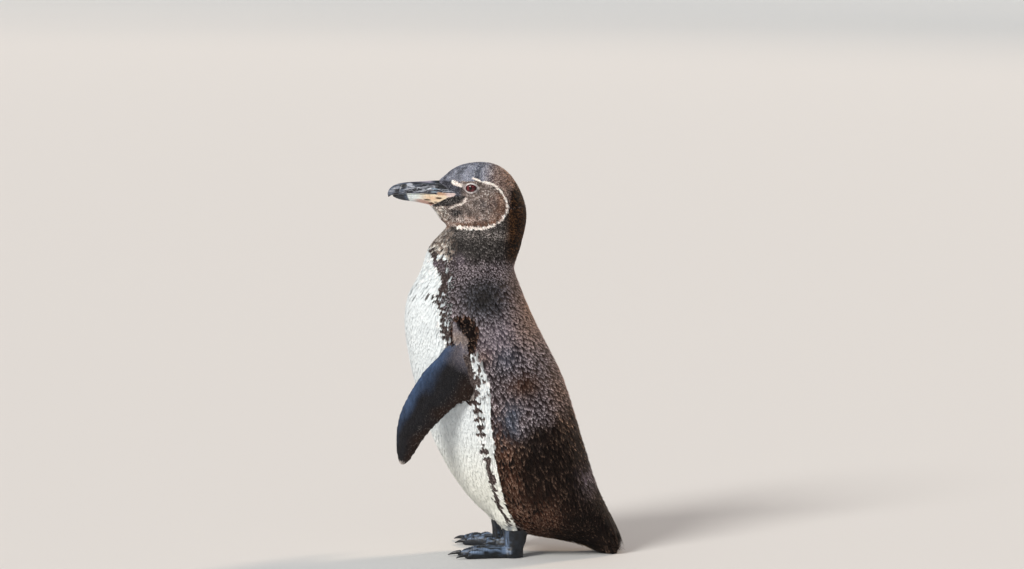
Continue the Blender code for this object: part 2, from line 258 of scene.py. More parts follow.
def makeStudio():
    # a round cove: flat under the bird, then rising, so that the floor ends softly on every side
    flat, rise = studio["flat"], studio["rise"]
    profile = [(0.0, 0.0), (3.0, 0.0), (flat, 0.0)]
    profile += [(flat + rise * math.sin(a), rise - rise * math.cos(a)) for a in np.linspace(0.15, 1.45, 10)]
    sides = 96
    points, faces = [], []
    for radius, height in profile:
        for i in range(sides):
            turn = 2 * math.pi * i / sides
            points.append((radius * math.cos(turn), radius * math.sin(turn), height))
    for row in range(len(profile) - 1):
        for i in range(sides):
            j = (i + 1) % sides
            faces.append((row * sides + i, (row + 1) * sides + i, (row + 1) * sides + j, row * sides + j))
    floor = meshFrom("floor", np.array(points), np.array(faces))
    paper, tree = newMaterial("studio paper")
    shader = addNode(tree, "ShaderNodeBsdfPrincipled", {
        "Base Color": (*linear(studio["floor"]), 1), "Roughness": 0.85})
    addNode(tree, "ShaderNodeOutputMaterial", {"Surface": shader.outputs[0]})
    floor.data.materials.append(paper)
    for name in ("key", "rim"):
        made = studio[name]
        data = bpy.data.lights.new(name, "SUN")
        data.angle, data.energy = math.radians(made["spread"]), made["strength"]
        data.color = linear(made["colour"])
        light = bpy.data.objects.new(name, data)
        scene.collection.objects.link(light)
        light.rotation_euler = (-Vector(made["from"])).to_track_quat("-Z", "Y").to_euler()
    world = bpy.data.worlds.new("studio")
    world.use_nodes = True
    scene.world = world
    back = world.node_tree.nodes["Background"]
    back.inputs["Color"].default_value = (*linear(studio["world"]), 1)
    back.inputs["Strength"].default_value = studio["worldStrength"]
    scene.view_settings.view_transform = "Standard"


makeCamera()
makeStudio()
print("camera and studio made")


# the skin: one closed mesh over all the flesh, drawn in by the depth of the coat

skinShape = {
    "voxel": 1.4 * mm,
    "keep": 0.3,  # share of all the faces left once those under the feathers are thinned
    "overlap": 0.35 * mm,  # closes the thin cuts between the solids
    "trunkDepth": 2.0, "neckDepth": 1.5, "headDepth": 0.8, "faceDepth": 0.35,
    "tailDepth": 1.4, "flipperDepth": 0.4, "thighDepth": 1.0,  # millimetres
}
eyeShape = {
    "openWidth": 4.8, "openHeight": 3.7,  # half the gap between the lids, mm
    "lidReach": 9.0,  # how far from the eye's middle the lids still lift the skin, mm
    "forward": 0.2, "up": 0.05,  # how far the eyes look forward and up
    "cornea": 0.012,  # how far the clear cornea stands off the ball, as a share of its radius
    "pupil": 1.65,  # radius, mm
}
# where the flipper comes out of the body: an oval fold in the side view, and the arm's top inside it, in mm
shoulderFold = {
    "middle": (-40, 227), "half": (14.5, 20),
    "inner": 25, "lowest": 206,  # the fold is further out than this, and higher
    "groove": 1.7,
    "arm": [(-50, 238), (-44, 224), (-42, 208)], "armHeight": 2.2,
}


def joinedFlesh(grow):
    # the eyeballs are in it too, so that the skin closes over them before its lids are shaped
    made = bmesh.new()
    owners = []
    for index, name in enumerate(fleshNodes + ("eye_left", "eye_right")):
        made.from_mesh(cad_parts[name].data)
        made.faces.ensure_lookup_table()
        zone = index if index < len(fleshNodes) else headZone
        owners += [zone] * (len(made.faces) - len(owners))
    bmesh.ops.remove_doubles(made, verts=made.verts, dist=1e-6)
    made.normal_update()
    tree = BVHTree.FromBMesh(made)
    for vertex in made.verts:
        vertex.co += vertex.normal * grow
    return made, tree, np.array(owners)


def zonesOf(points, tree, owners):
    return np.array([owners[tree.find_nearest(p)[2]] for p in points.tolist()])


def eyeFrame(side):
    low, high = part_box("eye_left" if side > 0 else "eye_right")
    centre = np.array((low + high) / 2)
    out = unit(np.array([side, -eyeShape["forward"], eyeShape["up"]]))
    up = unit(np.array([0, 0, 1]) - out * out[2])
    ahead = np.cross(up, out) * side  # towards the bill on either side
    ahead = ahead if ahead[1] < 0 else -ahead
    return centre, out, ahead, up, (high - low)[2] / 2


def eyePlace(points, side):  # how far ahead, up and out of the eye's middle, in mm, and the ring it is on
    centre, out, ahead, up, _ = eyeFrame(side)
    offset = (points - centre) / mm
    u, v, w = offset @ ahead, offset @ up, offset @ out
    corner = 1 - 0.06 * np.clip(np.abs(u) - 3, 0, 2)  # the lids meet in blunt corners
    return u, v, w, np.hypot(u * corner, v * eyeShape["openWidth"] / eyeShape["openHeight"])


def sculptEyes(points):
    for side in bothSides:
        _, out, _, _, radius = eyeFrame(side)
        u, v, w, ring = eyePlace(points, side)
        near = (ring < 14) & (w > -1)
        ball, rim = radius / mm, eyeShape["openWidth"]
        # from inside out: under the ball, the lid's edge, its soft roll, the crease round it
        rings = rim + np.array([-rim, -0.3, 0.05, 0.4, 1.1, 1.7, 2.8])
        heights = ball + np.array([-1.2, -0.8, 0.25, 0.65, 0.6, 0.3, 0.5])
        dome = np.interp(ring, rings, heights)
        wanted = np.sqrt(np.maximum(dome ** 2 - u ** 2 - v ** 2, 0.2))
        share = 1 - ramp(ring, rim + 1.0, eyeShape["lidReach"])
        lifted = w + (wanted - w) * share
        angle = np.arctan2(v, -u)  # 0 behind the eye, negative below it
        below = bell(angle, -0.95, 0.9)
        folds = 0.3 * bell(ring, 8.1, 0.5) - 0.35 * bell(ring, 9.0, 0.45) + 0.3 * bell(ring, 10.0, 0.6)
        brow = 0.5 * bell(ring, 8.0, 1.3) * bell(angle, 1.7, 0.9)
        lifted = lifted + folds * below + brow
        moved = points + out * ((lifted - w) * mm)[:, None]
        points = np.where(near[:, None], moved, points)
    return points


def foldPlace(y, z):  # 0 in the middle of the shoulder fold and 1 on its rim, and how far off the arm is
    (midY, midZ), (halfY, halfZ) = shoulderFold["middle"], shoulderFold["half"]
    return np.hypot((y - midY) / halfY, (z - midZ) / halfZ), lineDistance(y, z, shoulderFold["arm"])[0]


def sculptShoulders(points, normals, zones):
    x, y, z = (points / mm).T
    oval, arm = foldPlace(y, z)
    body = (zones == trunkZone) & (np.abs(x) > shoulderFold["inner"]) & (z > 200)
    lift = shoulderFold["armHeight"] * bell(arm, 0, 6.5) * ramp(z, 206, 216)
    lift = lift - shoulderFold["groove"] * bell(oval, 0.78, 0.2) * ramp(arm, 4, 9) * ramp(z, 208, 222)
    return points + normals * (np.where(body, lift, 0) * mm)[:, None]


def sculptFace(points, normals, zones):  # the forehead and lores stand over the base of the bill
    _, y, z = (points / mm).T
    lift = 1.5 * bell(y, -67, 7) * bell(z, 379, 5) + 0.5 * bell(y, -60, 5) * bell(z, 371, 4)
    return points + normals * (np.where(zones == headZone, lift, 0) * mm)[:, None]


def sculptFeet(points, normals, zones):
    _, y, z = (points / mm).T
    feet = np.isin(zones, footZones)
    lift = 2.6 * ramp(z, 3.5, 9) * bell(y, -26, 22) * ramp(y, -62, -50)
    scutes = 0.16 * np.sin(y * 2 * np.pi / 2.6) * ramp(normals[:, 2], 0.2, 0.7) * ramp(y, -14, -22)
    # loose hide stands in upright folds where the toes meet the leg
    legs = np.isin(zones, legZones + footZones)
    folds = 0.55 * np.sin((y + 0.25 * z) * 2 * np.pi / 4.2) * bell(y, -4, 7)
    folds = folds * ramp(z, 8, 13) * ramp(z, 34, 28) * legs
    moved = points + normals * ((scutes * feet + folds) * mm)[:, None]
    moved[:, 2] += np.where(feet, lift, 0) * mm
    # the heel is round and leans forward
    moved[:, 1] -= 5.0 * mm * ramp(y, 2, 14) * ramp(z, 20, 4) * legs
    return moved


def slimmed(data, zones, points):
    # fewer faces where feathers cover the skin; the face, flippers, shoulder folds and feet keep theirs
    x, y, z = (points / mm).T
    folds = (foldPlace(y, z)[0] < 1.3) & (np.abs(x) > shoulderFold["inner"])
    legs = np.isin(zones, legZones) & (z < 34)
    covered = ~((zones == headZone) & (y < -10) | np.isin(zones, flipperZones + footZones) | legs | folds)
    raw = bpy.data.objects.new("skinFull", data)
    scene.collection.objects.link(raw)
    group = raw.vertex_groups.new(name="covered")
    group.add(np.flatnonzero(covered).tolist(), 1.0, "REPLACE")
    fewer = raw.modifiers.new("fewer", "DECIMATE")
    fewer.ratio, fewer.vertex_group = skinShape["keep"], "covered"
    made = bpy.data.meshes.new_from_object(raw.evaluated_get(bpy.context.evaluated_depsgraph_get()))
    bpy.data.objects.remove(raw)
    return made


def makeSkin():
    grown, tree, owners = joinedFlesh(skinShape["overlap"])
    data = bpy.data.meshes.new("skinRaw")
    grown.to_mesh(data)
    skinData = remeshed(data, skinShape["voxel"])

    points, edges = pointsOf(skinData), edgesOf(skinData)
    zones = zonesOf(points, tree, owners)
    # the remesh leaves small steps, smoothed away here, most of all on the broad parts
    broad = np.isin(zones, [headZone, neckZone, trunkZone, tailZone]).astype(float)
    points = relaxed(points, edges, 3, 0.5)
    points = relaxed(points, edges, 16, 0.5 * broad)
    setPoints(skinData, points)
    skinData = slimmed(skinData, zones, points)

    # finer faces on the face and feet, then finer again round the eyes and gape; places are in metres
    fine = bmesh.new()
    fine.from_mesh(skinData)
    eyes = [Vector(eyeFrame(side)[0]) for side in bothSides]
    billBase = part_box("bill_upper")[1][1]
    for chosen in (
        lambda c: (c.y < billBase + 30 * mm and c.z > 0.345) or c.z < 0.029 and c.y < 0.02,
        lambda c: min((c - e).length for e in eyes) < 12 * mm
        or c.y < billBase + 20 * mm and 0.351 < c.z < 0.377,
    ):
        faces = [face for face in fine.faces if chosen(face.calc_center_median())]
        picked = dict.fromkeys(edge for face in faces for edge in face.edges)  # each edge once, in order
        bmesh.ops.subdivide_edges(fine, edges=list(picked), cuts=1, use_grid_fill=True, smooth=0.0)
    bmesh.ops.triangulate(fine, faces=fine.faces)
    fine.to_mesh(skinData)
    fine.free()

    points, edges = pointsOf(skinData), edgesOf(skinData)
    zones = zonesOf(points, tree, owners)
    zoneDepth = np.array([skinShape[key] for key in (
        "headDepth", "neckDepth", "trunkDepth", "tailDepth", "flipperDepth", "flipperDepth",
        "thighDepth", "thighDepth")] + [0.0, 0.0])
    y, z = points[:, 1] / mm, points[:, 2] / mm
    onHead, onFace = skinShape["headDepth"], skinShape["faceDepth"]
    faceDepth = onHead + (onFace - onHead) * ramp(y, -20, -48)
    depth = np.where(zones == headZone, faceDepth, zoneDepth[zones])
    depth = np.where(np.isin(zones, legZones), skinShape["thighDepth"] * ramp(z, 28, 42), depth)
    depth = relaxed(depth, edges, 25, 0.5)[:, 0]
    depth = np.where(np.isin(zones, footZones), 0.0, depth)
    points = points - normalsOf(skinData) * ((depth + skinShape["overlap"] / mm) * mm)[:, None]
    points = relaxed(points, edges, 2, 0.4)
    setPoints(skinData, points)
    points = sculptShoulders(points, normalsOf(skinData), zones)
    points = sculptFace(points, normalsOf(skinData), zones)
    points = sculptFeet(points, normalsOf(skinData), zones)
    points = sculptEyes(points)
    points[:, 2] = np.maximum(points[:, 2], 0.0)
    setPoints(skinData, points)
    skinData.shade_smooth()
    skin = bpy.data.objects.new("skin", skinData)
    scene.collection.objects.link(skin)
    return skin, points, zones


skin, skinPoints, skinZones = makeSkin()
print("skin made:", len(skin.data.vertices), "points")


# the markings, in the body's own millimetres: y back from the bill, z up, the same on both sides

plumageColours = {
    "back": "#211718", "backTip": "#E6D8E0", "lowBack": "#120A08", "lowBackTip": "#8D7464",
    "warmRimTip": "#F0C4A8", "warmRim": "#341F16", "flank": "#3A2116", "flankTip": "#D4AE98",
    "sheenBluish": "#393E4A", "bluishTipAndSheen": "#B8BACA", "bloomAndGlint": "#554C56",
    "crown": "#5C6070", "crownTip": "#E8ECF6", "hindCrown": "#4C3B39", "hindCrownTip": "#F4D8CA",
    "nape": "#0E0806", "napeTip": "#8E6340",
    "cheek": "#5E524D", "cheekTip": "#EEE2DC", "cheekBack": "#59392A", "cheekBackTip": "#DDB8A0",
    "cheekTan": "#86685A",
    "neckSide": "#262322", "neckSideTip": "#A39D9A",
    "white": "#EAF1F4", "line": "#F4E9E2", "whiteWarm": "#EEEEE3", "whiteShade": "#C3CCD1",
    "dirtyWhite": "#D6CEC4",
    "spot": "#352C2B", "spotTip": "#9C8E8A", "tan": "#B0946F",
    "flipper": "#1C1C20", "flipperBlueSheen": "#3F5475", "flipperBrown": "#271A14", "flipperRim": "#CFC6C0",
    "flipperRoot": "#686570", "armTip": "#DCD0CC",
    "lores": "#393A44", "chin": "#77685F", "black": "#131114", "lid": "#ECE5E4",
    "foot": "#08090B", "footBlueHighlight": "#6C7F9B",
}
palette = {name: tint(value) for name, value in plumageColours.items()}

marks = {
    # (z, y): the middle of the row of dark spots, from the leg to the throat
    "spotLine": [(36, 6), (60, -6), (100, -16), (117, -21.5), (160, -29), (212, -54), (234, -61),
                 (248, -61.5), (260, -66.5), (271, -62.5), (282, -59.5), (294, -63), (302, -69),
                 (312, -77)],
    # (z, half width): how broad that row is
    "spotWidth": [(36, 1.6), (60, 2.4), (90, 2.6), (160, 2.6), (212, 1.8), (248, 1.7), (260, 2.2),
                  (271, 3.4), (282, 4.2), (292, 6.6), (300, 4.8), (312, 2.6)],
    # (z, y): the back's dark edge, behind the white stripe on the flank, and the stripe's own front
    "backEdge": [(30, 14), (60, 1), (104, -8), (150, -13), (185, -16), (209, -29)],
    "stripeFront": [(100, -40), (158, -40), (166, -27), (193, -31), (209, -35)],
    # (y, z): the white line from the eye, round the cheek, to the throat
    "cheekLine": [(-31, 383), (-20, 379), (-9, 375), (0, 364.5), (3.2, 352), (-3, 341), (-14, 334.6),
                  (-30, 332.6), (-46, 332.6), (-53, 333)],
    # (y, z): the white brow, the dark edge before the arm, the black by the gape, the pale jaw line
    "brow": [(-50.6, 378.8), (-47, 377.2), (-43, 375.7), (-39, 374.6), (-36, 374.0)],
    "armFront": [(-49, 246), (-53, 238), (-56.5, 227), (-57, 216)],
    "gapeBlack": [(-70, 354.8), (-60, 358), (-50, 360.6), (-40, 364.4)],
    "jawLine": [(-55, 352), (-48, 355.4), (-42, 357.4), (-37.5, 363)],
    # (y, z): the edge between the bare base of the bill and the feathers
    "faceEdge": [(-77, 351), (-72, 355.4), (-63, 360), (-57, 363.4), (-50.5, 365), (-48.6, 367),
                 (-51, 369.2), (-56, 371.5), (-60.5, 375), (-69, 380)],
    # (y, z): the feathered head's lower edge
    "throat": [(-80, 326), (-57, 329), (-53, 333), (-30, 332.6), (-14, 334.6), (-3, 341), (4, 352),
               (30, 354)],
    # (y, z): the body's underside, from the vent to the tail
    "underside": [(0, 40), (15, 22), (46, 14.4), (76, 7.6), (100, -2)],
}
lines = {name: smoothLine(marks[name])
         for name in ("cheekLine", "brow", "armFront", "gapeBlack", "jawLine")}
curves = {name: smoothLine(marks[name]) for name in ("spotLine", "backEdge")}


def curve(name, value):
    return np.interp(value, *zip(*(curves[name] if name in curves else marks[name])))


def plumageAt(points, pick):
    # points in metres; pick is a number from 0 to 1 for each feather, which decides the mixed ones
    p = points / mm
    x, y, z = np.abs(p[:, 0]), p[:, 1], p[:, 2]
    wide = blotches(p + [0, 0, 7], 17, 3)
    small = blotches(p, 4.5, 5)
    fine = blotches(p, 2.0, 9)
    ragged = (small - 0.5) * 2.6 + (fine - 0.5) * 2.4

    def lay(name, tipName, share):
        nonlocal colour, tip
        share = np.clip(share, 0, 1)
        colour, tip = blend(colour, palette[name], share), blend(tip, palette[tipName], share)

    # the back, from the mottled shoulders down to the near-black rump
    colour, tip = np.tile(palette["back"], (len(p), 1)), np.tile(palette["backTip"], (len(p), 1))
    amount = 0.72 + 0.28 * pick
    patchy = 0.7 + 0.6 * wide
    low = ramp(z - 0.35 * y + (wide - 0.5) * 40, 139, 106)
    lay("lowBack", "lowBackTip", low)
    amount = amount * (1 - 0.82 * low * (pick < 0.72))
    flank = bell(y, curve("backEdge", z) + 10, 12) * ramp(z, 175, 120)
    flank = np.clip(flank + 1.2 * bell(y, 42, 16) * bell(z, 40, 20), 0, 1) * (pick > 0.25)
    lay("flank", "flankTip", flank)
    amount = np.maximum(amount, 0.75 * flank)
    lay("flank", "flankTip", 0.9 * bell(z, 207, 9) * bell(y, -17, 11))
    umber = bell(z, 176, 12) * bell(y, 20, 16)
    lay("flank", "flankTip", 0.8 * umber * patchy)
    amount = amount * (1 - 0.4 * umber)
    # painted sheen: bluish patches on the back, one on the mid back and one higher up
    coolSheen = 1.4 * bell(z, 142, 15) * bell(y, 7, 11) + 0.8 * bell(z, 204, 14) * bell(y, 0, 14)
    lay("sheenBluish", "bluishTipAndSheen", coolSheen * patchy)
    # painted sheen: paler, lilac-tipped feathers on the back beside the bluish patch
    lilacSheen = bell(z - 0.25 * y, 137, 9) * ramp(y, 8, 18) * ramp(y, 48, 36)
    lay("back", "backTip", lilacSheen)
    amount = np.maximum(amount, 1.1 * lilacSheen)
    lay("bloomAndGlint", "backTip", 1.1 * bell(z - 0.3 * y, 226, 15) * bell(y, -6, 18))
    dusk = bell(z, 264, 19) * bell(y, -20, 22)
    lay("neckSide", "bluishTipAndSheen", 1.4 * dusk * patchy)
    amount = amount * (1 - 0.95 * dusk)
    # the rear edge of the upper back and nape: brown feathers, their tips painted peach as warm rim light
    warmRim = ramp(y, -4, 26) * ramp(z, 195, 250) * ramp(z, 330, 300)
    warmRim = warmRim + 0.8 * ramp(y, 34, 60) * bell(z, 180, 40)
    lay("warmRim", "warmRimTip", 0.85 * warmRim * patchy)
    # painted rim light: a few peach tips along the back's rear edge
    rear = ramp(y - 0.45 * (200 - z), 18, 34) * ramp(z, 60, 120) * ramp(z, 160, 130)
    lay("lowBack", "warmRimTip", 0.9 * rear * (pick > 0.85))
    # painted highlight: pale tips glinting on the rump above the tail
    glint = bell(y - 0.1 * (80 - z), 84, 9) * bell(z, 76, 14) * (pick > 0.4)
    lay("bloomAndGlint", "backTip", 0.9 * glint)
    amount = np.maximum(amount, glint)

    # neck sides and nape
    neck = ramp(z + (small - 0.5) * 8, 292, 304)
    lay("neckSide", "neckSideTip", neck)
    amount = np.where(neck > 0.5, 0.3 + 0.45 * bell(z, 327, 5) + 0.6 * (pick > 0.6), amount)
    lay("bloomAndGlint", "backTip", bell(z, 298, 7) * bell(y, -46, 7))
    lay("neckSide", "cheekTip", 0.85 * bell(z, 327, 5) * ramp(y, -46, -30) * (pick > 0.35))
    lay("back", "backTip", 0.85 * bell(z, 291, 10) * ramp(y, 20, 0) * (pick > 0.25))
    lay("nape", "napeTip", neck * ramp(y + (wide - 0.5) * 6, -3, 8))
    amount = amount * (1 - 0.5 * neck * ramp(y, 5, 14) * (pick < 0.6))
    amount = amount * (1 - 0.6 * bell(z, 318, 7) * bell(y, -50, 6))
    head = ramp(z - curve("throat", y), -0.5, 0.5)
    rearEdge = np.interp(z, [334.6, 341, 352, 364.5, 375, 380], [-14, -3, 4, 1, -9, -20])
    inside = (y < rearEdge) & (z < 380)

    # head: bluish crown, brown and pale-tipped behind, cheek inside the white line
    lay("crown", "crownTip", head)
    lay("hindCrown", "hindCrownTip", head * ramp(y + (wide - 0.5) * 10, -26, -4))
    behind = ramp(y - 0.15 * (z - 360) + (small - 0.5) * 4, 3, 9) * ramp(z, 388, 372)
    lay("nape", "napeTip", behind * head)
    # painted rim light: peach tips on the rear edge of the hind crown
    lay("cheekTan", "warmRimTip", head * ramp(y, -6, 6) * ramp(z, 366, 380) * (pick > 0.4))
    amount = np.where(head > 0.5, 0.55 + 0.45 * (pick > 0.35) - 0.75 * behind * (pick < 0.85), amount)
    cheek = head * inside
    lay("cheek", "cheekTip", cheek)
    rusty = ramp(y + (small - 0.5) * 10, -20, -4) * ramp(z + (wide - 0.5) * 8, 374, 362)
    rusty = 0.8 * rusty + bell(z, 337, 3.5) * ramp(y, -56, -44)
    lay("cheekBack", "cheekBackTip", cheek * rusty * (0.6 + 0.4 * (pick > 0.3)))
    amount = np.where(cheek > 0.5, 0.2 + 0.8 * (pick > 0.45) * (0.5 + small), amount)
    lay("cheekTan", "cheekTip", 0.9 * cheek * bell(z, 341, 5) * bell(y, -33, 10) * (pick > 0.3))
    lay("lores", "neckSideTip", cheek * bell(y, -18, 8) * bell(z, 357, 4) * 0.5 * (pick < 0.8))
    lay("cheekTip", "whiteShade", cheek * bell(y, -43, 9) * bell(z, 340.5, 2.2) * 0.8 * (pick > 0.4))
    lay("black", "neckSideTip", 1.4 * cheek * bell(y, -48, 7) * bell(z, 348, 4) * (pick < 0.9))
    lay("lores", "bluishTipAndSheen", cheek * ramp(y, -40, -46) * ramp(z, 362, 366))

    # chin and throat: pale, mottled dark down to the front of the neck
    chin = head * ramp(y + 0.55 * (z - 345), -53, -58) * ramp(z, 357, 353)
    lay("chin", "whiteShade", chin)
    lay("dirtyWhite", "white", chin * (pick > 0.66))
    lay("cheekBack", "cheekTip", chin * ramp(z, 344, 338) * 0.7)
    underChin = head * bell(x, 0, 4.5) * ramp(y, -52, -56)
    lay("white", "white", underChin * ramp(z, 360, 356) * ramp(z, 339, 344))
    throat = ramp(y + (pick - 0.5) * 14, -52, -61) * ramp(z, 294, 300) * (1 - head)
    pale = (0.55 * pick + 0.75 * fine > 0.66).astype(float)
    lay("chin", "dirtyWhite", throat)
    lay("dirtyWhite", "white", throat * pale * 0.9)
    lay("spot", "spotTip", throat * ramp(0.6 * small + 0.5 * fine, 0.6, 0.66) * (1 - 0.6 * pale))
    amount = np.where(throat > 0.5, 0.8, amount)

    # darker and paler clumps, a few feathers across
    clump = 1 + (blotches(p * [1, 0.8, 0.6], 2.8, 77) - 0.5) * (0.8 + 0.5 * head)
    colour, tip = colour * clump[:, None], tip * clump[:, None]

    # the white front, the row of dark spots on its edge, and the stripe behind it
    middle, half = curve("spotLine", z), curve("spotWidth", z)
    upper = ramp(z, 200, 212)
    beads = 0.5 + 0.5 * np.cos(2 * np.pi * (z - 161) / (8.2 - 2.4 * upper) + 1.5 * (wide - 0.5))
    loose = half * (0.2 + 1.9 * beads) - 7.5 * bell(z, 122, 3)
    packed = half * (0.1 + 1.3 * small + 0.4 * wide)
    packed = packed - 2.4 * ramp(fine, 0.5, 0.8) * ((half < 5) & (z > 200))
    share = np.clip(ramp(z, 106, 92) + ramp(z, 266, 276), 0, 1)
    reach = loose + (packed - loose) * share + 0.55 * ragged
    astray = y - middle - (2.0 + 3.0 * upper) * (small - 0.5)
    spots = ramp(reach - np.abs(astray), -0.25, 0.25) * ramp(z, 317, 312)
    white = ramp(middle + 0.4 * ragged - y, -0.4, 0.4) * ramp(z + 0.8 * ragged, 315, 311)
    stripe = ramp(curve("backEdge", z) - y + 0.45 * ragged, -0.4, 0.4) * ramp(z, 211, 207) * (z > 26)
    stripe = stripe * ramp(y - curve("stripeFront", z) + 0.3 * ragged, -0.4, 0.4)
    white = np.where((z > 160) & (y > middle), stripe, np.maximum(white, stripe))
    # behind the upper spots the feathers keep only white tips, fewer and fewer
    thinning = ramp(y - middle, 17, 3) * ramp(z, 222, 236) * ramp(z, 312, 300)
    flecked = (pick < 0.75 * thinning) & (y > middle)
    tip = np.where(flecked[:, None], palette["white"], tip)
    near = (y > middle) & (z < 305) & (pick < 0.8 * ramp(y - middle, 8, 2.5) * ramp(z, 214, 220))
    colour = np.where(near[:, None], palette["whiteShade"], colour)
    amount = np.where(flecked, 0.8, amount)
    crescent = bell(y, -61.5, 5.5) * bell(z, 302 - 0.35 * (y + 61), 2.4)
    white = np.maximum(white, ramp(crescent, 0.35, 0.6))
    streak = blotches(np.column_stack([x * 0.2, (y + 0.45 * z) * 0.55, (z - 0.45 * y) * 0.12]), 1.0, 71)
    shadeShare = 0.3 * ramp(streak, 0.45, 0.9) * ramp(z, 262, 235) + 0.3 * (pick - 0.4)
    whiteTone = blend(palette["white"], palette["whiteShade"], np.clip(shadeShare, 0, 1))
    whiteTone = blend(whiteTone, palette["whiteWarm"], ramp(z, 150, 60) * 0.8)
    colour, tip = blend(colour, whiteTone, white), blend(tip, whiteTone * 1.02, white)
    amount = np.where(white > 0.5, 1.0, amount)
    armpit = (z > 158) & (z < 214) & (y > middle + 4) & (y < curve("stripeFront", z))
    lay("spot", "spotTip", armpit * (x > 30))
    dots = ramp(blotches(p * [0.4, 1, 0.8], 2.5, 61), 0.66, 0.72) * ramp(z, 162, 168) * ramp(z, 207, 202)
    dots = dots * (y > middle)
    gap, _ = lineDistance(y, z, lines["armFront"])
    outline = ramp(1.0 + 0.25 * ragged - gap, -0.3, 0.3) * (x > shoulderFold["inner"])
    spots = np.maximum(spots, outline)
    lay("spot", "spotTip", np.maximum(spots, dots * white))
    lay("bloomAndGlint", "backTip", 0.7 * spots * bell(z, 295, 5) * (pick > 0.3))
    amount = np.where(spots > 0.5, 0.35 + 0.65 * (pick > 0.55), amount)
    strays = ramp(blotches(p * [0.3, 1, 0.8], 3.4, 63), 0.83, 0.87) * bell(middle - y, 8, 6)
    strays = strays * ramp(z, 205, 215)
    lay("spot", "spot", 3 * strays * white * ramp(z, 298, 292))

    # where the flipper comes out: a dark fold, and the pale top of the arm
    oval, arm = foldPlace(y, z)
    outside = x > shoulderFold["inner"]
    fold = ramp(oval + 0.05 * ragged, 1.08, 0.96) * outside * ramp(z, 206, 212)
    lay("lowBack", "flankTip", fold)
    lay("flank", "flankTip", 0.7 * fold * ramp(oval, 0.6, 0.95) * (pick > 0.4))
    amount = np.where(fold > 0.5, 0.5 * (pick > 0.6), amount)
    armTop = ramp(arm + 0.5 * ragged - 0.3 * np.clip(236 - z, 0, 12), 3.4, 2.2) * fold
    lay("flipperRoot", "armTip", armTop)
    lay("tan", "armTip", 0.3 * armTop * bell(z, 225, 8))
    amount = np.where(armTop > 0.5, 0.35 + 0.65 * pick, amount)

    # white line round the cheek, brow, jaw line and the black by the gape
    gap, along = lineDistance(y, z, lines["cheekLine"])
    width = np.interp(along, [0, 0.1, 0.3, 0.5, 0.66, 0.78, 0.9, 1],
                      [0.7, 0.9, 1.0, 0.85, 1.1, 1.7, 1.3, 0.4])
    line = ramp(width + 1.2 * (fine - 0.5) - gap, -0.3, 0.3)
    line = line * (1 - 0.6 * ramp(along, 0.05, 0.3) * (pick > 0.85))
    gap, along = lineDistance(y, z, lines["brow"])
    width = np.interp(along, [0, 0.5, 1], [2.2, 1.8, 1.2])
    brow = ramp(width + 0.6 * (fine - 0.5) - gap, -0.3, 0.3)
    gap, _ = lineDistance(y, z, lines["jawLine"])
    jaw = ramp(0.9 + 0.9 * (fine - 0.5) - gap, -0.25, 0.25)
    lay("line", "line", np.maximum(np.maximum(line, brow), 0.75 * jaw) * ramp(z, 328, 330))
    gap, along = lineDistance(y, z, lines["gapeBlack"])
    width = np.interp(along, [0, 0.4, 0.7, 1], [1.8, 3.8, 3.8, 1.4])
    black = ramp(width + 1.2 * (fine - 0.5) - gap, -0.4, 0.4)
    black = np.maximum(black, bell(y, -53, 7) * bell(z, 362.5, 2.4))
    overJaw = ramp(z - curve("jawLine", y), -1, 0.6)
    lay("black", "neckSideTip", black * ramp(x, 3, 6) * overJaw)

    # pale vent, and a thin tan edge under the body
    edge = ramp(curve("underside", y) + 5 + ragged - z, 0, 3) * ramp(y, 10, 22) * ramp(y, 98, 86)
    lay("tan", "whiteWarm", 0.7 * edge * (pick > 0.45))
    lay("whiteShade", "white", bell(y, 8, 6) * bell(z, 31, 2.6) * (pick > 0.3))
    return colour, tip, amount


def bareAt(points):  # the bare skin round the base of the bill, which no feather covers
    p = points / mm
    y, z = p[:, 1], p[:, 2]
    edgeY, edgeZ = zip(*marks["faceEdge"])
    fine = blotches(p, 1.4, 15)
    return ramp(np.interp(z, edgeZ, edgeY) + 0.9 * (fine - 0.5) - y, -0.3, 0.3) * ramp(z, 349.5, 350.5)


# the flippers have their own lengths: along the span, and across from the leading to the trailing edge

def flipperFrame(side):
    points = pointsOf(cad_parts["flipper_left" if side > 0 else "flipper_right"].data)
    middle = points.mean(0)
    axes = np.linalg.svd(points - middle, full_matrices=False)[2]
    along = axes[0] if axes[0][2] < 0 else -axes[0]
    across = axes[1] if axes[1][1] > 0 else -axes[1]
    outer = np.cross(along, across)
    outer = outer if outer[0] * side > 0 else -outer
    span = (points - middle) @ along
    chord = (points - middle) @ across
    rows = np.linspace(span.min(), span.max(), 16)
    lead, trail = [], []
    for low, high in zip(rows, rows[1:]):
        near = (span >= low - 6 * mm) & (span <= high + 6 * mm)
        lead.append(chord[near].min())
        trail.append(chord[near].max())
    centres = (rows[1:] + rows[:-1]) / 2
    return middle, along, across, outer, (span.min(), span.max()), (centres, lead, trail)


flipperFrames = {side: flipperFrame(side) for side in bothSides}


def flipperPlace(points, side):
    middle, along, across, outer, (first, last), (centres, lead, trail) = flipperFrames[side]
    offset = points - middle
    span, chord = offset @ along, offset @ across
    low, high = np.interp(span, centres, lead), np.interp(span, centres, trail)
    return (span - first) / (last - first), (chord - low) / (high - low), offset @ outer


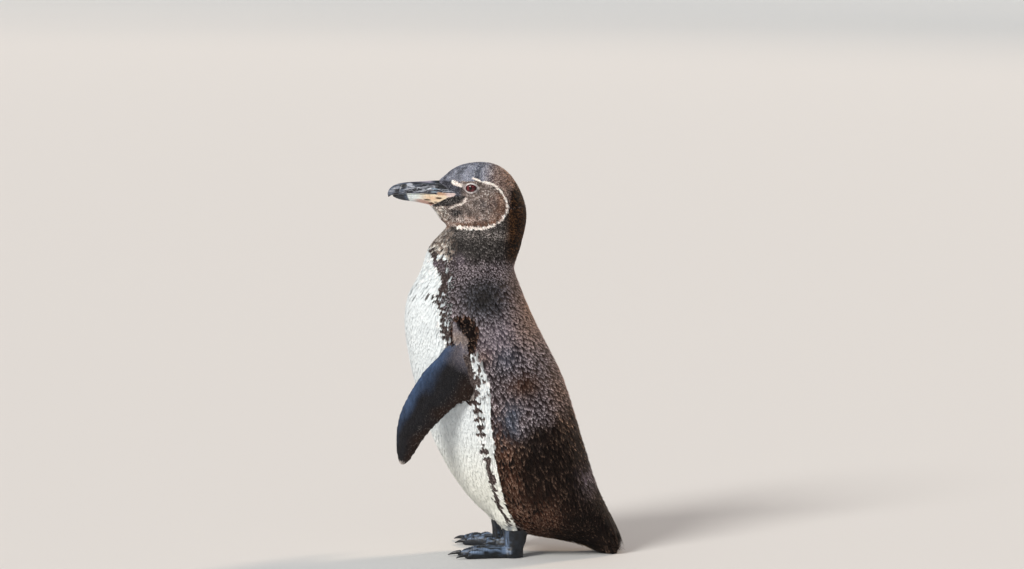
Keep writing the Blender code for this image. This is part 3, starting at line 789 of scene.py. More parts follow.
def flipperPaint(points, normals, side, pick):
    t, c, _ = flipperPlace(points, side)
    p = points / mm
    streak = blotches(p * [1, 1, 0.4], 2.0, 31)
    wide = blotches(p, 14, 33)
    colour = blend(palette["flipper"], palette["flipperBrown"], ramp(c + 0.3 * (wide - 0.5), 0.55, 0.95))
    # painted sheen: blue along the leading edge, fading out towards the tip
    blue = ramp(c + 0.16 * (wide - 0.5), 0.36, 0.08) * ramp(t, 1.0, 0.55)
    colour = blend(colour, palette["flipperBlueSheen"], 0.9 * blue)
    colour = colour * (0.7 + 0.6 * streak)[:, None]
    root = ramp(t + 0.2 * (wide - 0.5), 0.3, 0.1) * bell(c, 0.5, 0.3)
    colour = blend(colour, palette["flipperRoot"] * 1.25, 0.85 * root)
    colour = blend(colour, palette["flipper"], ramp(c, 0.07, 0.02) * ramp(t, 0.5, 0.3))
    lower = 0.025 * ramp(t, 0.55, 0.7)
    rim = ramp(c, 0.955 - lower, 0.98 - lower) + ramp(c, 0.03, 0.012) * ramp(t, 0.4, 0.6)
    rim = np.clip(rim + ramp(t, 0.975, 0.99), 0, 1) * ramp(t, 0.2, 0.3)
    colour = blend(colour, palette["flipperRim"], 0.85 * rim)
    # the inner face is pale with a dark border
    outerFacing = normals @ flipperFrames[side][3]
    inner = ramp(outerFacing, 0.1, -0.3) * ramp(c, 0.1, 0.24) * ramp(c, 0.95, 0.82) * ramp(t, 0.97, 0.88)
    colour = blend(colour, palette["whiteShade"], inner * (0.55 + 0.4 * (pick > 0.35)))
    speck = palette["flipperRim"] * np.where((c > 0.6) & (pick > 0.8), 1.0, 0.35)[:, None]
    tip = blend(colour, speck, 0.14 + 0.16 * pick + 0.2 * (c > 0.6) * (pick > 0.8))
    tip = blend(tip, palette["armTip"], 0.8 * root * (pick > 0.3))
    return colour, tip, np.full(len(points), 0.8)


def colourAt(points, normals, zones, pick):
    colour, tip, amount = plumageAt(points, pick)
    for side, zone in zip(bothSides, flipperZones):
        chosen = zones == zone
        if chosen.any():
            made = flipperPaint(points[chosen], normals[chosen], side, pick[chosen])
            colour[chosen], tip[chosen], amount[chosen] = made
    return colour, tip, amount


billColours = {
    "dark": "#171B25", "slate": "#4A5465", "wear": "#BFC4D0", "ridgeHighlight": "#A39DB0", "blue": "#93A9BC",
    "white": "#DCE4E3", "cream": "#E6D5BA", "orange": "#D8AE8E", "rose": "#BE9488", "pink": "#E4CFCC",
    "brown": "#3B2413", "black": "#0C0D11",
}
billMarks = {  # y, height over the seam, half length and half height, in mm
    "seam": [(-118, 364.3), (-104, 365.2), (-97, 366.2), (-84, 366.2), (-70, 365.6), (-48, 365.4)],
    "bars": [(-70.2, 5.5, 3.6, 0.5), (-70.4, 2.4, 3.6, 0.55), (-95.6, 9.0, 3.4, 1.5),
             (-66.6, 10.6, 3.2, 0.5)],
    "spots": [(-66, -3.2, 3.4, 1.0), (-77.6, -5.8, 3.4, 0.8), (-73.6, -9.2, 3.4, 1.1),
              (-69, -7.4, 2.0, 0.6)],
    "hollow": (-101.4, 8.4, 3.4, 2.0),
}


def billUp(y, z):  # height over the seam between the bill's two halves
    return z - np.interp(y, *zip(*billMarks["seam"]))


def billGrain(p):  # horn plates are drawn out along the bill
    return np.column_stack([p[:, 0] * 0.4, p[:, 1] * 0.11, billUp(p[:, 1], p[:, 2]) - 0.1 * (p[:, 1] + 90)])


def billPaint(p):  # horn colours at points in mm, on the bill and on the bare skin behind it
    y, z = p[:, 1], p[:, 2]
    up = billUp(y, z)
    grain = billGrain(p)
    wander, second = blotches(grain, 1.5, 41), blotches(grain * 1.5, 1.1, 42)
    broken = ramp(blotches(p, 3.2, 48), 0.3, 0.6)
    plate = blotches(p * [1, 0.35, 1], 2.4, 43)
    fine = blotches(p, 0.8, 45)
    jitter = (plate - 0.5) * 1.2

    def oval(mark):
        return ramp(np.hypot((y - mark[0]) / mark[2], (up - mark[1] + 0.5 * jitter) / mark[3]), 1.25, 0.7)

    def lay(name, share):
        nonlocal colour
        colour = blend(colour, tint(billColours[name]), np.clip(share, 0, 1))

    colour = np.tile(tint(billColours["dark"]), (len(p), 1))
    lay("slate", 0.85 * ramp(plate, 0.35, 0.7) * ramp(y, -92, -104) + 0.45 * ramp(plate, 0.45, 0.75))
    # plates worn pale along their edges
    wearAndSheen = ramp(np.abs(wander - 0.5), 0.09, 0.03) * broken + 0.7 * ramp(np.abs(second - 0.5), 0.09, 0.03)
    lay("wear", wearAndSheen * ramp(y, -104, -97) * bell(up, 5.2, 3.4))
    lay("slate", 0.8 * ramp(second, 0.5, 0.7) * ramp(y, -98, -104))
    lay("wear", 0.35 * ramp(second, 0.62, 0.75) * ramp(y, -98, -104))
    # painted highlight: the top of the ridge lighter, where the light falls on it
    lay("ridgeHighlight", 0.85 * ramp(up + jitter * 0.5, 10.6, 12.2) * ramp(y, -110, -104) * ramp(y, -70, -76))
    lay("wear", 0.5 * ramp(up - 0.9 * (y + 117), 5.5, 8) * ramp(y, -104, -110) * ramp(fine, 0.2, 0.6))
    for bar, name in zip(billMarks["bars"], ("blue", "blue", "wear", "wear")):
        lay(name, 0.85 * oval(bar))
    lay("black", 0.95 * oval(billMarks["hollow"]))

    # lower half: white, then cream and rose towards the base, dark at the tip
    lower = ramp(up + 0.3 * jitter, 0.35, -0.15)
    lay("white", lower)
    lay("cream", lower * ramp(y + jitter * 2, -90, -76))
    lay("orange", 0.6 * lower * bell(y, -72, 8) * bell(up, -4.0, 2.2))
    edge = np.interp(y, [-104, -98, -84, -70], [-3.6, -5.6, -7.2, -10.4])
    lay("rose", 0.9 * lower * ramp(up - edge + jitter, 2.4, 0.8) * ramp(y, -94, -84))
    for spot in billMarks["spots"]:
        lay("brown", 0.95 * oval(spot) * lower)
    lay("slate", lower * ramp(y + 0.4 * up + 0.5 * jitter, -97.6, -99.2))
    lay("black", 0.8 * lower * ramp(y + 0.4 * up + jitter, -100, -103))

    # the gape: a bare strip behind the bill, orange then pink
    strip = ramp(y, -69, -66) * ramp(np.abs(up - 1.0 + 0.4 * jitter), 1.9, 1.3)
    lay("orange", 0.7 * strip)
    lay("pink", strip * ramp(y, -62, -55))
    lay("pink", 0.8 * ramp(y, -60, -55) * ramp(up, 0.5, -0.5) * ramp(up, -5, -4))
    lay("brown", 0.45 * strip * bell(up, 1.1 - 0.02 * (y + 56), 0.28) * ramp(y, -64, -60))
    lay("black", 0.85 * ramp(y, -71, -68) * ramp(up, 3.6, 4.6) * ramp(up, 5.2, 6.4))
    return colour * (0.86 + 0.28 * fine)[:, None]


def paintSkin():
    normals = normalsOf(skin.data)
    colour, tip, amount = colourAt(skinPoints, normals, skinZones, np.full(len(skinPoints), 0.5))
    colour = blend(colour, tip, 0.25 * amount)
    p = skinPoints / mm
    bare = bareAt(skinPoints) * (skinZones == headZone)
    colour = blend(colour, billPaint(p), bare)
    rim = eyeShape["openWidth"]
    grain = blotches(p, 0.9, 57)
    for side in bothSides:
        u, v, w, ring = eyePlace(skinPoints, side)
        near = w > 0
        behind = bell(np.arctan2(v, -u), 0.1, 0.5)
        dark = (0.55 + 0.45 * behind) * ramp(ring, rim + 3.0, rim + 2.4)
        colour = blend(colour, palette["black"], dark * near)
        # the pale lid runs out forwards to meet the brow
        reach = 2.3 + 2.6 * bell(np.arctan2(v, u), 0.25, 0.3)
        lid = ramp(ring, rim + 0.3, rim + 0.55) * ramp(ring, rim + reach, rim + reach - 0.4) * near
        colour = blend(colour, palette["lid"] * (0.8 + 0.35 * grain)[:, None], lid)
        colour = blend(colour, palette["black"], ramp(ring, rim + 0.5, rim + 0.2) * near)
    hide = np.isin(skinZones, footZones) | (np.isin(skinZones, legZones) & (p[:, 2] < 31))
    # the feet and bare legs: black, with blue painted highlight where the faces turn up, in streaks along
    # the toes, and an upright streak of painted highlight down the front of the ankle
    sheen = blotches(p * [1, 0.3, 1], 1.8, 59)
    upright = blotches(p * [1, 1, 0.25], 1.9, 60)
    lit = ramp(normals[:, 2] + 0.4 * np.abs(normals[:, 0]), 0.2, 0.9)
    lit = lit * ramp(sheen, 0.3, 0.85) * ramp(p[:, 2], 3, 7)
    lit = 0.8 * lit + 0.55 * ramp(upright, 0.42, 0.72) * bell(p[:, 1], 2.5, 2.2) * ramp(p[:, 2], 9, 13)
    lit = lit * ramp(p[:, 1], 9, 5) + 0.06 * blotches(p, 4, 62)
    footColour = blend(palette["foot"], palette["footBlueHighlight"], np.clip(lit, 0, 1))
    colour = np.where(hide[:, None], footColour, colour)
    paint(skin.data, colour)
    return hide


footMask = paintSkin()


# materials

def plumageMaterial():
    # contour feather keratin: a dull satin web with fine barbs, so that only the tips catch the light
    made, tree = newMaterial("contour feather keratin")
    colour = addNode(tree, "ShaderNodeAttribute", attribute_name="plumage")
    place = addNode(tree, "ShaderNodeUVMap", uv_map="vane")
    parts = addNode(tree, "ShaderNodeSeparateXYZ", {"Vector": place.outputs["UV"]})
    # barbs slope from the shaft: 0.25 mm apart in life, drawn at about 0.4 mm so that they show
    side = addNode(tree, "ShaderNodeMath", {0: parts.outputs["X"], 1: 0.5}, operation="SUBTRACT")
    spread = addNode(tree, "ShaderNodeMath", {0: side.outputs[0]}, operation="ABSOLUTE")
    slope = addNode(tree, "ShaderNodeMath", {0: spread.outputs[0], 1: -1.2, 2: parts.outputs["Y"]},
                    operation="MULTIPLY_ADD")
    waves = addNode(tree, "ShaderNodeMath", {0: slope.outputs[0], 1: 110.0}, operation="MULTIPLY")
    barbs = addNode(tree, "ShaderNodeMath", {0: waves.outputs[0]}, operation="SINE")
    shaft = addNode(tree, "ShaderNodeMath", {0: spread.outputs[0], 1: 0.05}, operation="LESS_THAN")
    height = addNode(tree, "ShaderNodeMath", {0: barbs.outputs[0], 1: 0.25, 2: shaft.outputs[0]},
                     operation="MULTIPLY_ADD")
    bump = addNode(tree, "ShaderNodeBump", {"Height": height.outputs[0], "Strength": 0.3,
                                            "Distance": 0.12 * mm})
    # preened unevenly: patches about 6 mm across differ a little in gloss and depth of colour
    place = addNode(tree, "ShaderNodeTexCoord")
    wear = addNode(tree, "ShaderNodeTexNoise", {"Vector": place.outputs["Object"], "Scale": 0.16 / mm,
                                                "Detail": 3.0})
    gloss = addNode(tree, "ShaderNodeMapRange", {"Value": wear.outputs["Fac"], "To Min": 0.42,
                                                 "To Max": 0.68})
    shade = addNode(tree, "ShaderNodeMapRange", {"Value": wear.outputs["Fac"], "To Min": 0.86,
                                                 "To Max": 1.08})
    colour = addNode(tree, "ShaderNodeVectorMath", {0: colour.outputs["Color"], 1: shade.outputs[0]},
                     operation="MULTIPLY")
    shader = addNode(tree, "ShaderNodeBsdfPrincipled", {
        "Base Color": colour.outputs[0], "Roughness": gloss.outputs[0], "Normal": bump.outputs[0],
        "IOR": 1.55, "Specular IOR Level": 0.1})
    addNode(tree, "ShaderNodeOutputMaterial", {"Surface": shader.outputs[0]})
    return made


def skinMaterial():
    # skin under the down: matt, seen as the dark between feather roots and bare on the lids and gape,
    # with a grain about 1.1 mm across
    made, tree = newMaterial("feathered skin")
    colour = addNode(tree, "ShaderNodeAttribute", attribute_name="plumage")
    place = addNode(tree, "ShaderNodeTexCoord")
    down = addNode(tree, "ShaderNodeTexNoise", {"Vector": place.outputs["Object"], "Scale": 0.9 / mm,
                                                "Detail": 4.0})
    shade = addNode(tree, "ShaderNodeMapRange", {"Value": down.outputs["Fac"], "To Min": 0.7,
                                                 "To Max": 1.05})
    colour = addNode(tree, "ShaderNodeVectorMath", {0: colour.outputs["Color"], 1: shade.outputs[0]},
                     operation="MULTIPLY")
    bump = addNode(tree, "ShaderNodeBump", {"Height": down.outputs["Fac"], "Strength": 0.5,
                                            "Distance": 0.25 * mm})
    rough = addNode(tree, "ShaderNodeMapRange", {"Value": down.outputs["Fac"], "To Min": 0.5,
                                                 "To Max": 0.8})
    shader = addNode(tree, "ShaderNodeBsdfPrincipled", {
        "Base Color": colour.outputs[0], "Roughness": rough.outputs[0], "Normal": bump.outputs[0],
        "Specular IOR Level": 0.25})
    addNode(tree, "ShaderNodeOutputMaterial", {"Surface": shader.outputs[0]})
    return made


def footMaterial():
    # webbed foot hide: black, hard little scales about 1.2 mm across and wrinkles about 3 mm apart, waxy;
    # the blue where the light strikes is painted highlight in the colour it reads
    made, tree = newMaterial("scaled foot hide")
    colour = addNode(tree, "ShaderNodeAttribute", attribute_name="plumage")
    place = addNode(tree, "ShaderNodeTexCoord")
    scales = addNode(tree, "ShaderNodeTexVoronoi", {"Vector": place.outputs["Object"], "Scale": 0.83 / mm},
                     feature="DISTANCE_TO_EDGE")
    wrinkles = addNode(tree, "ShaderNodeTexNoise", {"Vector": place.outputs["Object"], "Scale": 0.32 / mm,
                                                    "Detail": 5.0})
    rims = addNode(tree, "ShaderNodeMapRange", {"Value": scales.outputs["Distance"], "From Max": 0.12,
                                                "To Min": 0.45, "To Max": 1.15})
    shade = addNode(tree, "ShaderNodeMath", {0: wrinkles.outputs["Fac"], 1: 0.5, 2: rims.outputs[0]},
                    operation="MULTIPLY_ADD")
    colour = addNode(tree, "ShaderNodeVectorMath", {0: colour.outputs["Color"], 1: shade.outputs[0]},
                     operation="MULTIPLY")
    height = addNode(tree, "ShaderNodeMath", {0: rims.outputs[0], 1: 0.5, 2: wrinkles.outputs["Fac"]},
                     operation="MULTIPLY_ADD")
    bump = addNode(tree, "ShaderNodeBump", {"Height": height.outputs[0], "Strength": 0.35,
                                            "Distance": 0.25 * mm})
    gloss = addNode(tree, "ShaderNodeMapRange", {"Value": wrinkles.outputs["Fac"], "To Min": 0.32,
                                                 "To Max": 0.55})
    shader = addNode(tree, "ShaderNodeBsdfPrincipled", {
        "Base Color": colour.outputs[0], "Roughness": gloss.outputs[0], "Normal": bump.outputs[0],
        "Specular IOR Level": 0.4})
    addNode(tree, "ShaderNodeOutputMaterial", {"Surface": shader.outputs[0]})
    return made


plumage = plumageMaterial()
skin.data.materials.append(skinMaterial())
skin.data.materials.append(footMaterial())


def splitSkinMaterials():
    corners, starts = cornersOf(skin.data)
    skin.data.polygons.foreach_set("material_index", footMask[corners[starts]].astype(np.int32))


splitSkinMaterials()
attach(skin, "root")
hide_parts(*fleshNodes)


# the coat: scattered vanes that follow the lie of the feathers

lieReach = 13.0  # how far one guide's hold reaches, mm
lieGuides = (  # y, z in mm, and which way a feather there points in the side view
    (-66, 366, 1, 0.2), (-58, 384, 0.85, 0.6), (-45, 394, 0.9, 0.4), (-25, 398, 1, 0.05),
    (-5, 394, 0.9, -0.4), (8, 384, 0.7, -0.75), (18, 366, 0.35, -1), (-30, 380, 1, 0),
    (-28, 366, 1, -0.15), (-8, 365, 0.85, -0.6), (-60, 352, 1, -0.5), (-40, 350, 1, -0.35),
    (-15, 345, 0.7, -0.8), (-58, 340, 0.45, -0.9), (-58, 330, -0.2, -1), (-30, 330, 0.1, -1),
    (20, 335, 0.05, -1), (-74, 313, -0.45, -0.9), (-30, 300, 0.1, -1), (12, 297, 0, -1),
    (-84, 292, -0.3, -1), (22, 260, 0.4, -1), (-98, 262, -0.25, -1), (-35, 255, 0.15, -1),
    (44, 212, 0.45, -1), (-101, 215, 0.05, -1), (-25, 205, 0.2, -1), (62, 175, 0.42, -1),
    (-92, 178, 0.25, -1), (0, 150, 0.25, -1), (75, 132, 0.35, -1), (-80, 137, 0.35, -1),
    (88, 85, 0.25, -1), (-62, 96, 0.6, -1), (20, 90, 0.3, -1), (-38, 62, 0.9, -0.9),
    (98, 58, 0.15, -1), (40, 50, 0.4, -1), (-10, 36, 1, -0.6), (30, 20, 1, -0.25),
    (70, 10, 1, -0.3), (106, 40, 0.3, -1), (112, 15, 0.35, -1), (95, 6, 0.9, -0.5),
)


def lieAt(points, normals):
    guides = np.array(lieGuides, float)
    yz = points[:, 1:] / mm
    gap = ((yz[:, None, :] - guides[None, :, :2]) ** 2).sum(2)
    weight = np.exp(-(gap - gap.min(1, keepdims=True)) / (2 * lieReach ** 2))
    flow = weight @ unit(guides[:, 2:])
    direction = np.column_stack([np.zeros(len(points)), flow])
    direction -= normals * (direction * normals).sum(1, keepdims=True)
    return unit(direction)


class Ground:  # the skin that the coat grows on
    def __init__(self):
        mesh = bmesh.new()
        mesh.from_mesh(skin.data)
        self.tree = BVHTree.FromBMesh(mesh)
        mesh.free()
        normals = normalsOf(skin.data)
        corners, starts = cornersOf(skin.data)
        self.normals = unit(normals[corners[starts]] + normals[corners[starts + 2]])
        self.zones = skinZones[corners[starts]]

    def under(self, points):  # the nearest place on the skin, its normal and its face
        found = [self.tree.find_nearest(p) for p in points.tolist()]
        spots = np.array([f[0][:] for f in found])
        index = np.array([f[2] for f in found])
        return spots, self.normals[index], index


ground = Ground()


def scatter(spacing, seed):
    # Poisson points over the whole skin, no two nearer than this, with four tries for each place
    group = bpy.data.node_groups.new("scatter", "GeometryNodeTree")
    group.interface.new_socket("Geometry", in_out="INPUT", socket_type="NodeSocketGeometry")
    group.interface.new_socket("Geometry", in_out="OUTPUT", socket_type="NodeSocketGeometry")
    start = addNode(group, "NodeGroupInput")
    spread = addNode(group, "GeometryNodeDistributePointsOnFaces", {
        "Mesh": start.outputs[0], "Distance Min": spacing, "Density Max": 4 / spacing ** 2,
        "Seed": seed}, distribute_method="POISSON")
    made = addNode(group, "GeometryNodePointsToVertices", {"Points": spread.outputs["Points"]})
    addNode(group, "NodeGroupOutput", {0: made.outputs[0]})
    holder = bpy.data.objects.new("scatter", skin.data.copy())
    scene.collection.objects.link(holder)
    holder.modifiers.new("scatter", "NODES").node_group = group
    graph = bpy.context.evaluated_depsgraph_get()
    found = holder.evaluated_get(graph)
    points = pointsOf(found.data)
    bpy.data.objects.remove(holder)
    bpy.data.node_groups.remove(group)
    return points


bakePatch, bakeEdge = 0.003, 0.01  # a vane's own patch in the bake, and the margin round them all
floorGap = 0.4 * mm  # the lowest vanes stay this far off the floor


def vaneShape(columns, notch, pale):
    # one vane laid flat: how far along and across each point is, how pale its tip is, and its triangles
    across = np.linspace(-1, 1, columns)
    along, side, fringe = [], [], []
    # rows of points from the root: how far along, how wide, how pale
    for t, wide, share in ((0.0, 0.42, 0.0), (0.32, 0.88, 0.0), (0.6, 1.0, 0.15 * pale), (0.82, 0.9, pale)):
        for a in across:
            along.append(t - (0.05 * a * a if t else 0))
            side.append(a * wide)
            fringe.append(share * (0.6 + 0.6 * abs(a)))
    for j, a in enumerate(np.linspace(-1, 1, 2 * columns - 1)):  # barbs part into points at the end
        tip = j % 2 == 0
        along.append((1.0 if tip else 1.0 - notch) - 0.14 * a * a)
        side.append(a * 0.62)
        fringe.append(1.0 if tip else 0.9)
    triangles = []
    for row in range(3):
        for i in range(columns - 1):
            a, b = row * columns + i, (row + 1) * columns + i
            triangles += [(a, a + 1, b + 1), (a, b + 1, b)]
    last, ends = 3 * columns, 4 * columns
    for i in range(columns - 1):
        left, right, dip = last + i, last + i + 1, ends + 2 * i + 1
        triangles += [(left, right, dip), (left, dip, dip - 1), (right, dip + 1, dip)]
    return np.array(along), np.array(side), np.array(fringe), np.array(triangles)


def vanes(name, roots, zones, plan, unwrap, seed):
    rng = np.random.default_rng(seed)
    spots, normals, _ = ground.under(roots)
    place = spots / mm
    grow = plan["grow"](*place.T) if "grow" in plan else 1.0
    lengths = plan["length"] * mm * grow * rng.uniform(0.86, 1.14, len(roots))
    direction = lieAt(spots, normals)
    for side, zone in zip(bothSides, flipperZones):
        chosen = zones == zone
        _, span, chord, *_ = flipperFrames[side]
        lie = span + 0.18 * chord  # towards the flipper's tip and a little back
        direction[chosen] = unit(lie - normals[chosen] * (normals[chosen] @ lie)[:, None])
    yaw = rng.normal(0, plan["yaw"], len(roots))
    direction = unit(direction + np.cross(normals, direction) * yaw[:, None])

    # walk each vane's shaft over the skin, so that it lies along the body
    stations = np.array([0.0, 0.32, 0.6, 0.82, 1.0])
    here, facing, heading = spots, normals, direction
    path, up, forward = [here], [facing], [heading]
    for before, t in zip(stations, stations[1:]):
        here = here + heading * (lengths * (t - before))[:, None]
        if t <= plan.get("follow", 1.0):  # beyond this share of its length a stiff quill keeps straight on
            here, facing, under = ground.under(here)
            heading = unit(heading - facing * (heading * facing).sum(1, keepdims=True))
        path.append(here)
        up.append(facing)
        forward.append(heading)
    # a body feather that would end on the flipper or the bare leg is left out
    ends = ground.zones[under]
    onto = np.isin(ends, flipperZones + footZones) | (np.isin(ends, legZones) & (here[:, 2] < 28 * mm))
    onto &= ~np.isin(zones, flipperZones) & (not plan.get("over", False))
    keep = ~onto & (np.linalg.norm(here - spots, axis=1) > 0.4 * lengths)
    path, up, forward = np.array(path)[:, keep], np.array(up)[:, keep], np.array(forward)[:, keep]
    spots, normals, zones, lengths = spots[keep], normals[keep], zones[keep], lengths[keep]
    grow = np.broadcast_to(grow, keep.shape)[keep]

    count = len(spots)
    along, across, fringe, triangles = vaneShape(
        plan["columns"], plan.get("notch", 0.12), plan.get("pale", 0.12))
    size = len(along)
    pick = rng.random(count)
    widths = plan["width"] * mm * grow ** 0.5 * rng.uniform(0.9, 1.1, count)
    lifts = plan["height"] * mm * grow ** 0.5 * rng.uniform(0.85, 1.15, count)
    roll = rng.normal(0, plan["roll"], count)
    curl = rng.exponential(plan["curl"], count) * mm
    step = np.clip(np.searchsorted(stations, along, side="right") - 1, 0, 3)
    part = (along - stations[step]) / (stations[step + 1] - stations[step])
    part = part[None, :, None]
    middle = path[step].swapaxes(0, 1) * (1 - part) + path[step + 1].swapaxes(0, 1) * part
    facing = unit(up[step].swapaxes(0, 1) * (1 - part) + up[step + 1].swapaxes(0, 1) * part)
    sideways = np.cross(facing, forward[step].swapaxes(0, 1))

    half = widths[:, None] / 2
    t = along * (1 + rng.normal(0, 0.05, (count, size)) * (along > 0.85))
    reach = np.clip(t, 0, 1.1)
    rise = lifts[:, None] * (0.1 + 0.9 * reach ** 0.85) + curl[:, None] * reach ** 4
    cup = half * plan.get("cup", 0.3) * (np.abs(across) ** 1.6 + 0.3 * (np.abs(across) > 0.05))
    rise = rise - cup * (0.5 + 0.5 * along) + roll[:, None] * across * half
    points = (middle + forward[step].swapaxes(0, 1) * ((t - along) * lengths[:, None])[:, :, None]
              + sideways * (across * half)[:, :, None] + facing * rise[:, :, None])
    points[:, :, 2] = np.maximum(points[:, :, 2], floorGap)

    colour, tip, amount = colourAt(path[3], normals, zones, pick)
    shade = rng.uniform(1 - plan["shade"], 1 + plan["shade"], count)
    colour, tip = colour * shade[:, None], tip * shade[:, None]
    colours = colour[:, None, :] + (tip - colour)[:, None, :] * (fringe * amount[:, None])[:, :, None]

    faces = (triangles[None] + (np.arange(count) * size)[:, None, None]).reshape(-1, 3)
    made = meshFrom(name, points.reshape(-1, 3), faces, colours.reshape(-1, 3))
    flat = np.column_stack([across / 2 + 0.5, along])
    patch = unwrap(spots)[:, None, :] + (flat[None] - 0.5) * bakePatch
    for layer, value in (("OFBake", patch), ("vane", np.broadcast_to(flat, (count, size, 2)))):
        uv = made.data.uv_layers.new(name=layer)
        uv.data.foreach_set("uv", value.reshape(-1, 2)[faces.ravel()].astype(np.float32).ravel())
    made.data.uv_layers.active_index = 0
    made.data.materials.append(plumage)
    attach(made, "root")
    print(name, count, "vanes", len(faces), "triangles")
    return made


# (y, z) in mm: the body's middle line, from the bill to the tail
centreLine = ((-75, 366), (-30, 371), (-14, 352), (-20, 322), (-38, 285), (-32, 240), (-18, 180), (0, 130),
              (24, 85), (55, 46), (85, 25), (114, 0))


def bodyUnwrap(points):
    # the body unrolled round its own middle line: how far round, and how far along
    y, z = points[:, 1] / mm, points[:, 2] / mm
    _, along = lineDistance(y, z, centreLine)
    i = np.minimum((along * (len(centreLine) - 1)).astype(int), len(centreLine) - 2)
    line = np.array(centreLine, float)
    forward = unit(line[i + 1] - line[i])
    part = along * (len(centreLine) - 1) - i
    foot = line[i] + (line[i + 1] - line[i]) * part[:, None]
    back = np.column_stack([-forward[:, 1], forward[:, 0]])
    rise = ((np.column_stack([y, z]) - foot) * back).sum(1)
    return np.arctan2(points[:, 0] / mm, rise), along


def fitted(place):  # the whole region inside the square, clear of its edge
    low, high = place.min(0), place.max(0)
    return bakeEdge + (1 - 2 * bakeEdge) * (place - low) / (high - low)


def frontUnwrap(points):
    turn, along = bodyUnwrap(points)
    return fitted(np.column_stack([turn, along]))


def backUnwrap(points):  # the cut runs down the breast instead of down the back
    turn, along = bodyUnwrap(points)
    return fitted(np.column_stack([np.where(turn < 0, turn + 2 * math.pi, turn), along]))


def flipperUnwrap(side):
    def unwrap(points):
        t, c, h = flipperPlace(points, side)
        # the two faces open like a book from the leading edge
        return fitted(np.column_stack([np.where(h > 0, c, -c), t]))
    return unwrap


# each kind of feather, in millimetres: spacing of the roots, width and length of a vane, how high its tip
# rides and the usual curl of its tip; then how much they turn, lean and differ in shade. Some have more:
# pale is how light the barbs before the tip are, notch how deep the tip is parted, cup how far the sides
# bend down, grow how the size changes with the place, follow what share of the length keeps to the body,
# and over lets the vanes lie on the flipper
coatPlan = {
    "face": {"spacing": 0.8, "width": 1.1, "length": 2.3, "height": 0.4, "curl": 0.05, "yaw": 0.12,
             "roll": 0.12, "shade": 0.3, "columns": 3, "pale": 0.3},
    "head": {"spacing": 1.0, "width": 1.5, "length": 3.8, "height": 0.85, "curl": 0.1, "yaw": 0.1,
             "roll": 0.12, "shade": 0.3, "columns": 3, "pale": 0.3},
    "neck": {"spacing": 1.5, "width": 2.1, "length": 6.2, "height": 1.4, "curl": 0.12, "yaw": 0.1,
             "roll": 0.1, "shade": 0.25, "columns": 3, "pale": 0.3,
             "grow": lambda x, y, z: 1 - 0.3 * ramp(y, -40, -54)},
    "shoulders": {"spacing": 2.0, "width": 2.8, "length": 8.5, "height": 1.9, "curl": 0.15, "yaw": 0.12,
                  "roll": 0.1, "shade": 0.28, "columns": 5, "pale": 0.45},
    "fold": {"spacing": 1.5, "width": 2.2, "length": 5.0, "height": 0.8, "curl": 0.1, "yaw": 0.1,
             "roll": 0.1, "shade": 0.2, "columns": 3, "over": True},
    "back": {"spacing": 2.4, "width": 3.2, "length": 11.0, "height": 2.1, "curl": 0.25, "yaw": 0.1,
             "roll": 0.1, "shade": 0.25, "columns": 5, "pale": 0.2},
    "rump": {"spacing": 1.9, "width": 2.1, "length": 13.0, "height": 2.0, "curl": 0.3, "yaw": 0.1,
             "roll": 0.12, "shade": 0.3, "columns": 5, "notch": 0.2,
             "grow": lambda x, y, z: 0.5 + 0.5 * ramp(z - 0.5 * np.clip(y, 0, 30), 32, 60)},
    "front": {"spacing": 1.9, "width": 2.8, "length": 10.5, "height": 1.7, "curl": 0.03, "yaw": 0.05,
              "roll": 0.03, "shade": 0.02, "columns": 5, "cup": 0.12,
              "grow": lambda x, y, z: 0.5 + 0.5 * ramp(z, 38, 72)},
    "tail": {"spacing": 1.8, "width": 2.2, "length": 16.0, "height": 1.4, "curl": 0.2, "yaw": 0.08,
             "roll": 0.15, "shade": 0.25, "columns": 5, "notch": 0.25, "follow": 0.6},
    "flipper": {"spacing": 1.0, "width": 1.2, "length": 3.2, "height": 0.42, "curl": 0.02, "yaw": 0.05,
                "roll": 0.05, "shade": 0.15, "columns": 3},
}


def keepBare(points):  # no feathers on the lids or the bare base of the bill
    bare = bareAt(points) > 0.5
    for side in bothSides:
        u, _, w, ring = eyePlace(points, side)
        # feathers from ahead of the eye stop further off, so that they don't cross the lid
        bare |= (ring < eyeShape["openWidth"] + 2.0 + 1.8 * ramp(u, 1, 5)) & (w > 0)
    return bare


# where one region gives way to the next: a height in mm, and how far the two mix there
coatEdges = {"collar": (320, 5), "neck": (274, 12), "shoulders": (212, 14), "back": (112, 16)}


def above(edge, z, mix):
    height, reach = coatEdges[edge]
    return z > height + reach * mix


def inFold(x, y, z):
    return (foldPlace(y, z)[0] < 1.02) & (np.abs(x) > shoulderFold["inner"]) & (z > shoulderFold["lowest"])


def bodyPart(test):  # neck and trunk without the shoulder folds
    def chosen(x, y, z, zone, mix):
        return np.isin(zone, [neckZone, trunkZone]) & ~inFold(x, y, z) & test(y, z, mix)
    return chosen


def darkSide(y, z):  # behind the white stripe, or behind the upper spots
    return y > np.where(z > 208, curve("spotLine", z) + 12, curve("backEdge", z)) - 1


def spotted(y, z):  # the rows of spots and the stripe, whose short feathers keep their edges crisp
    return (y > curve("spotLine", z) - 7) & ~darkSide(y, z) & (z > 60)


def whiteFront(y, z):
    return ~darkSide(y, z) & ~spotted(y, z)


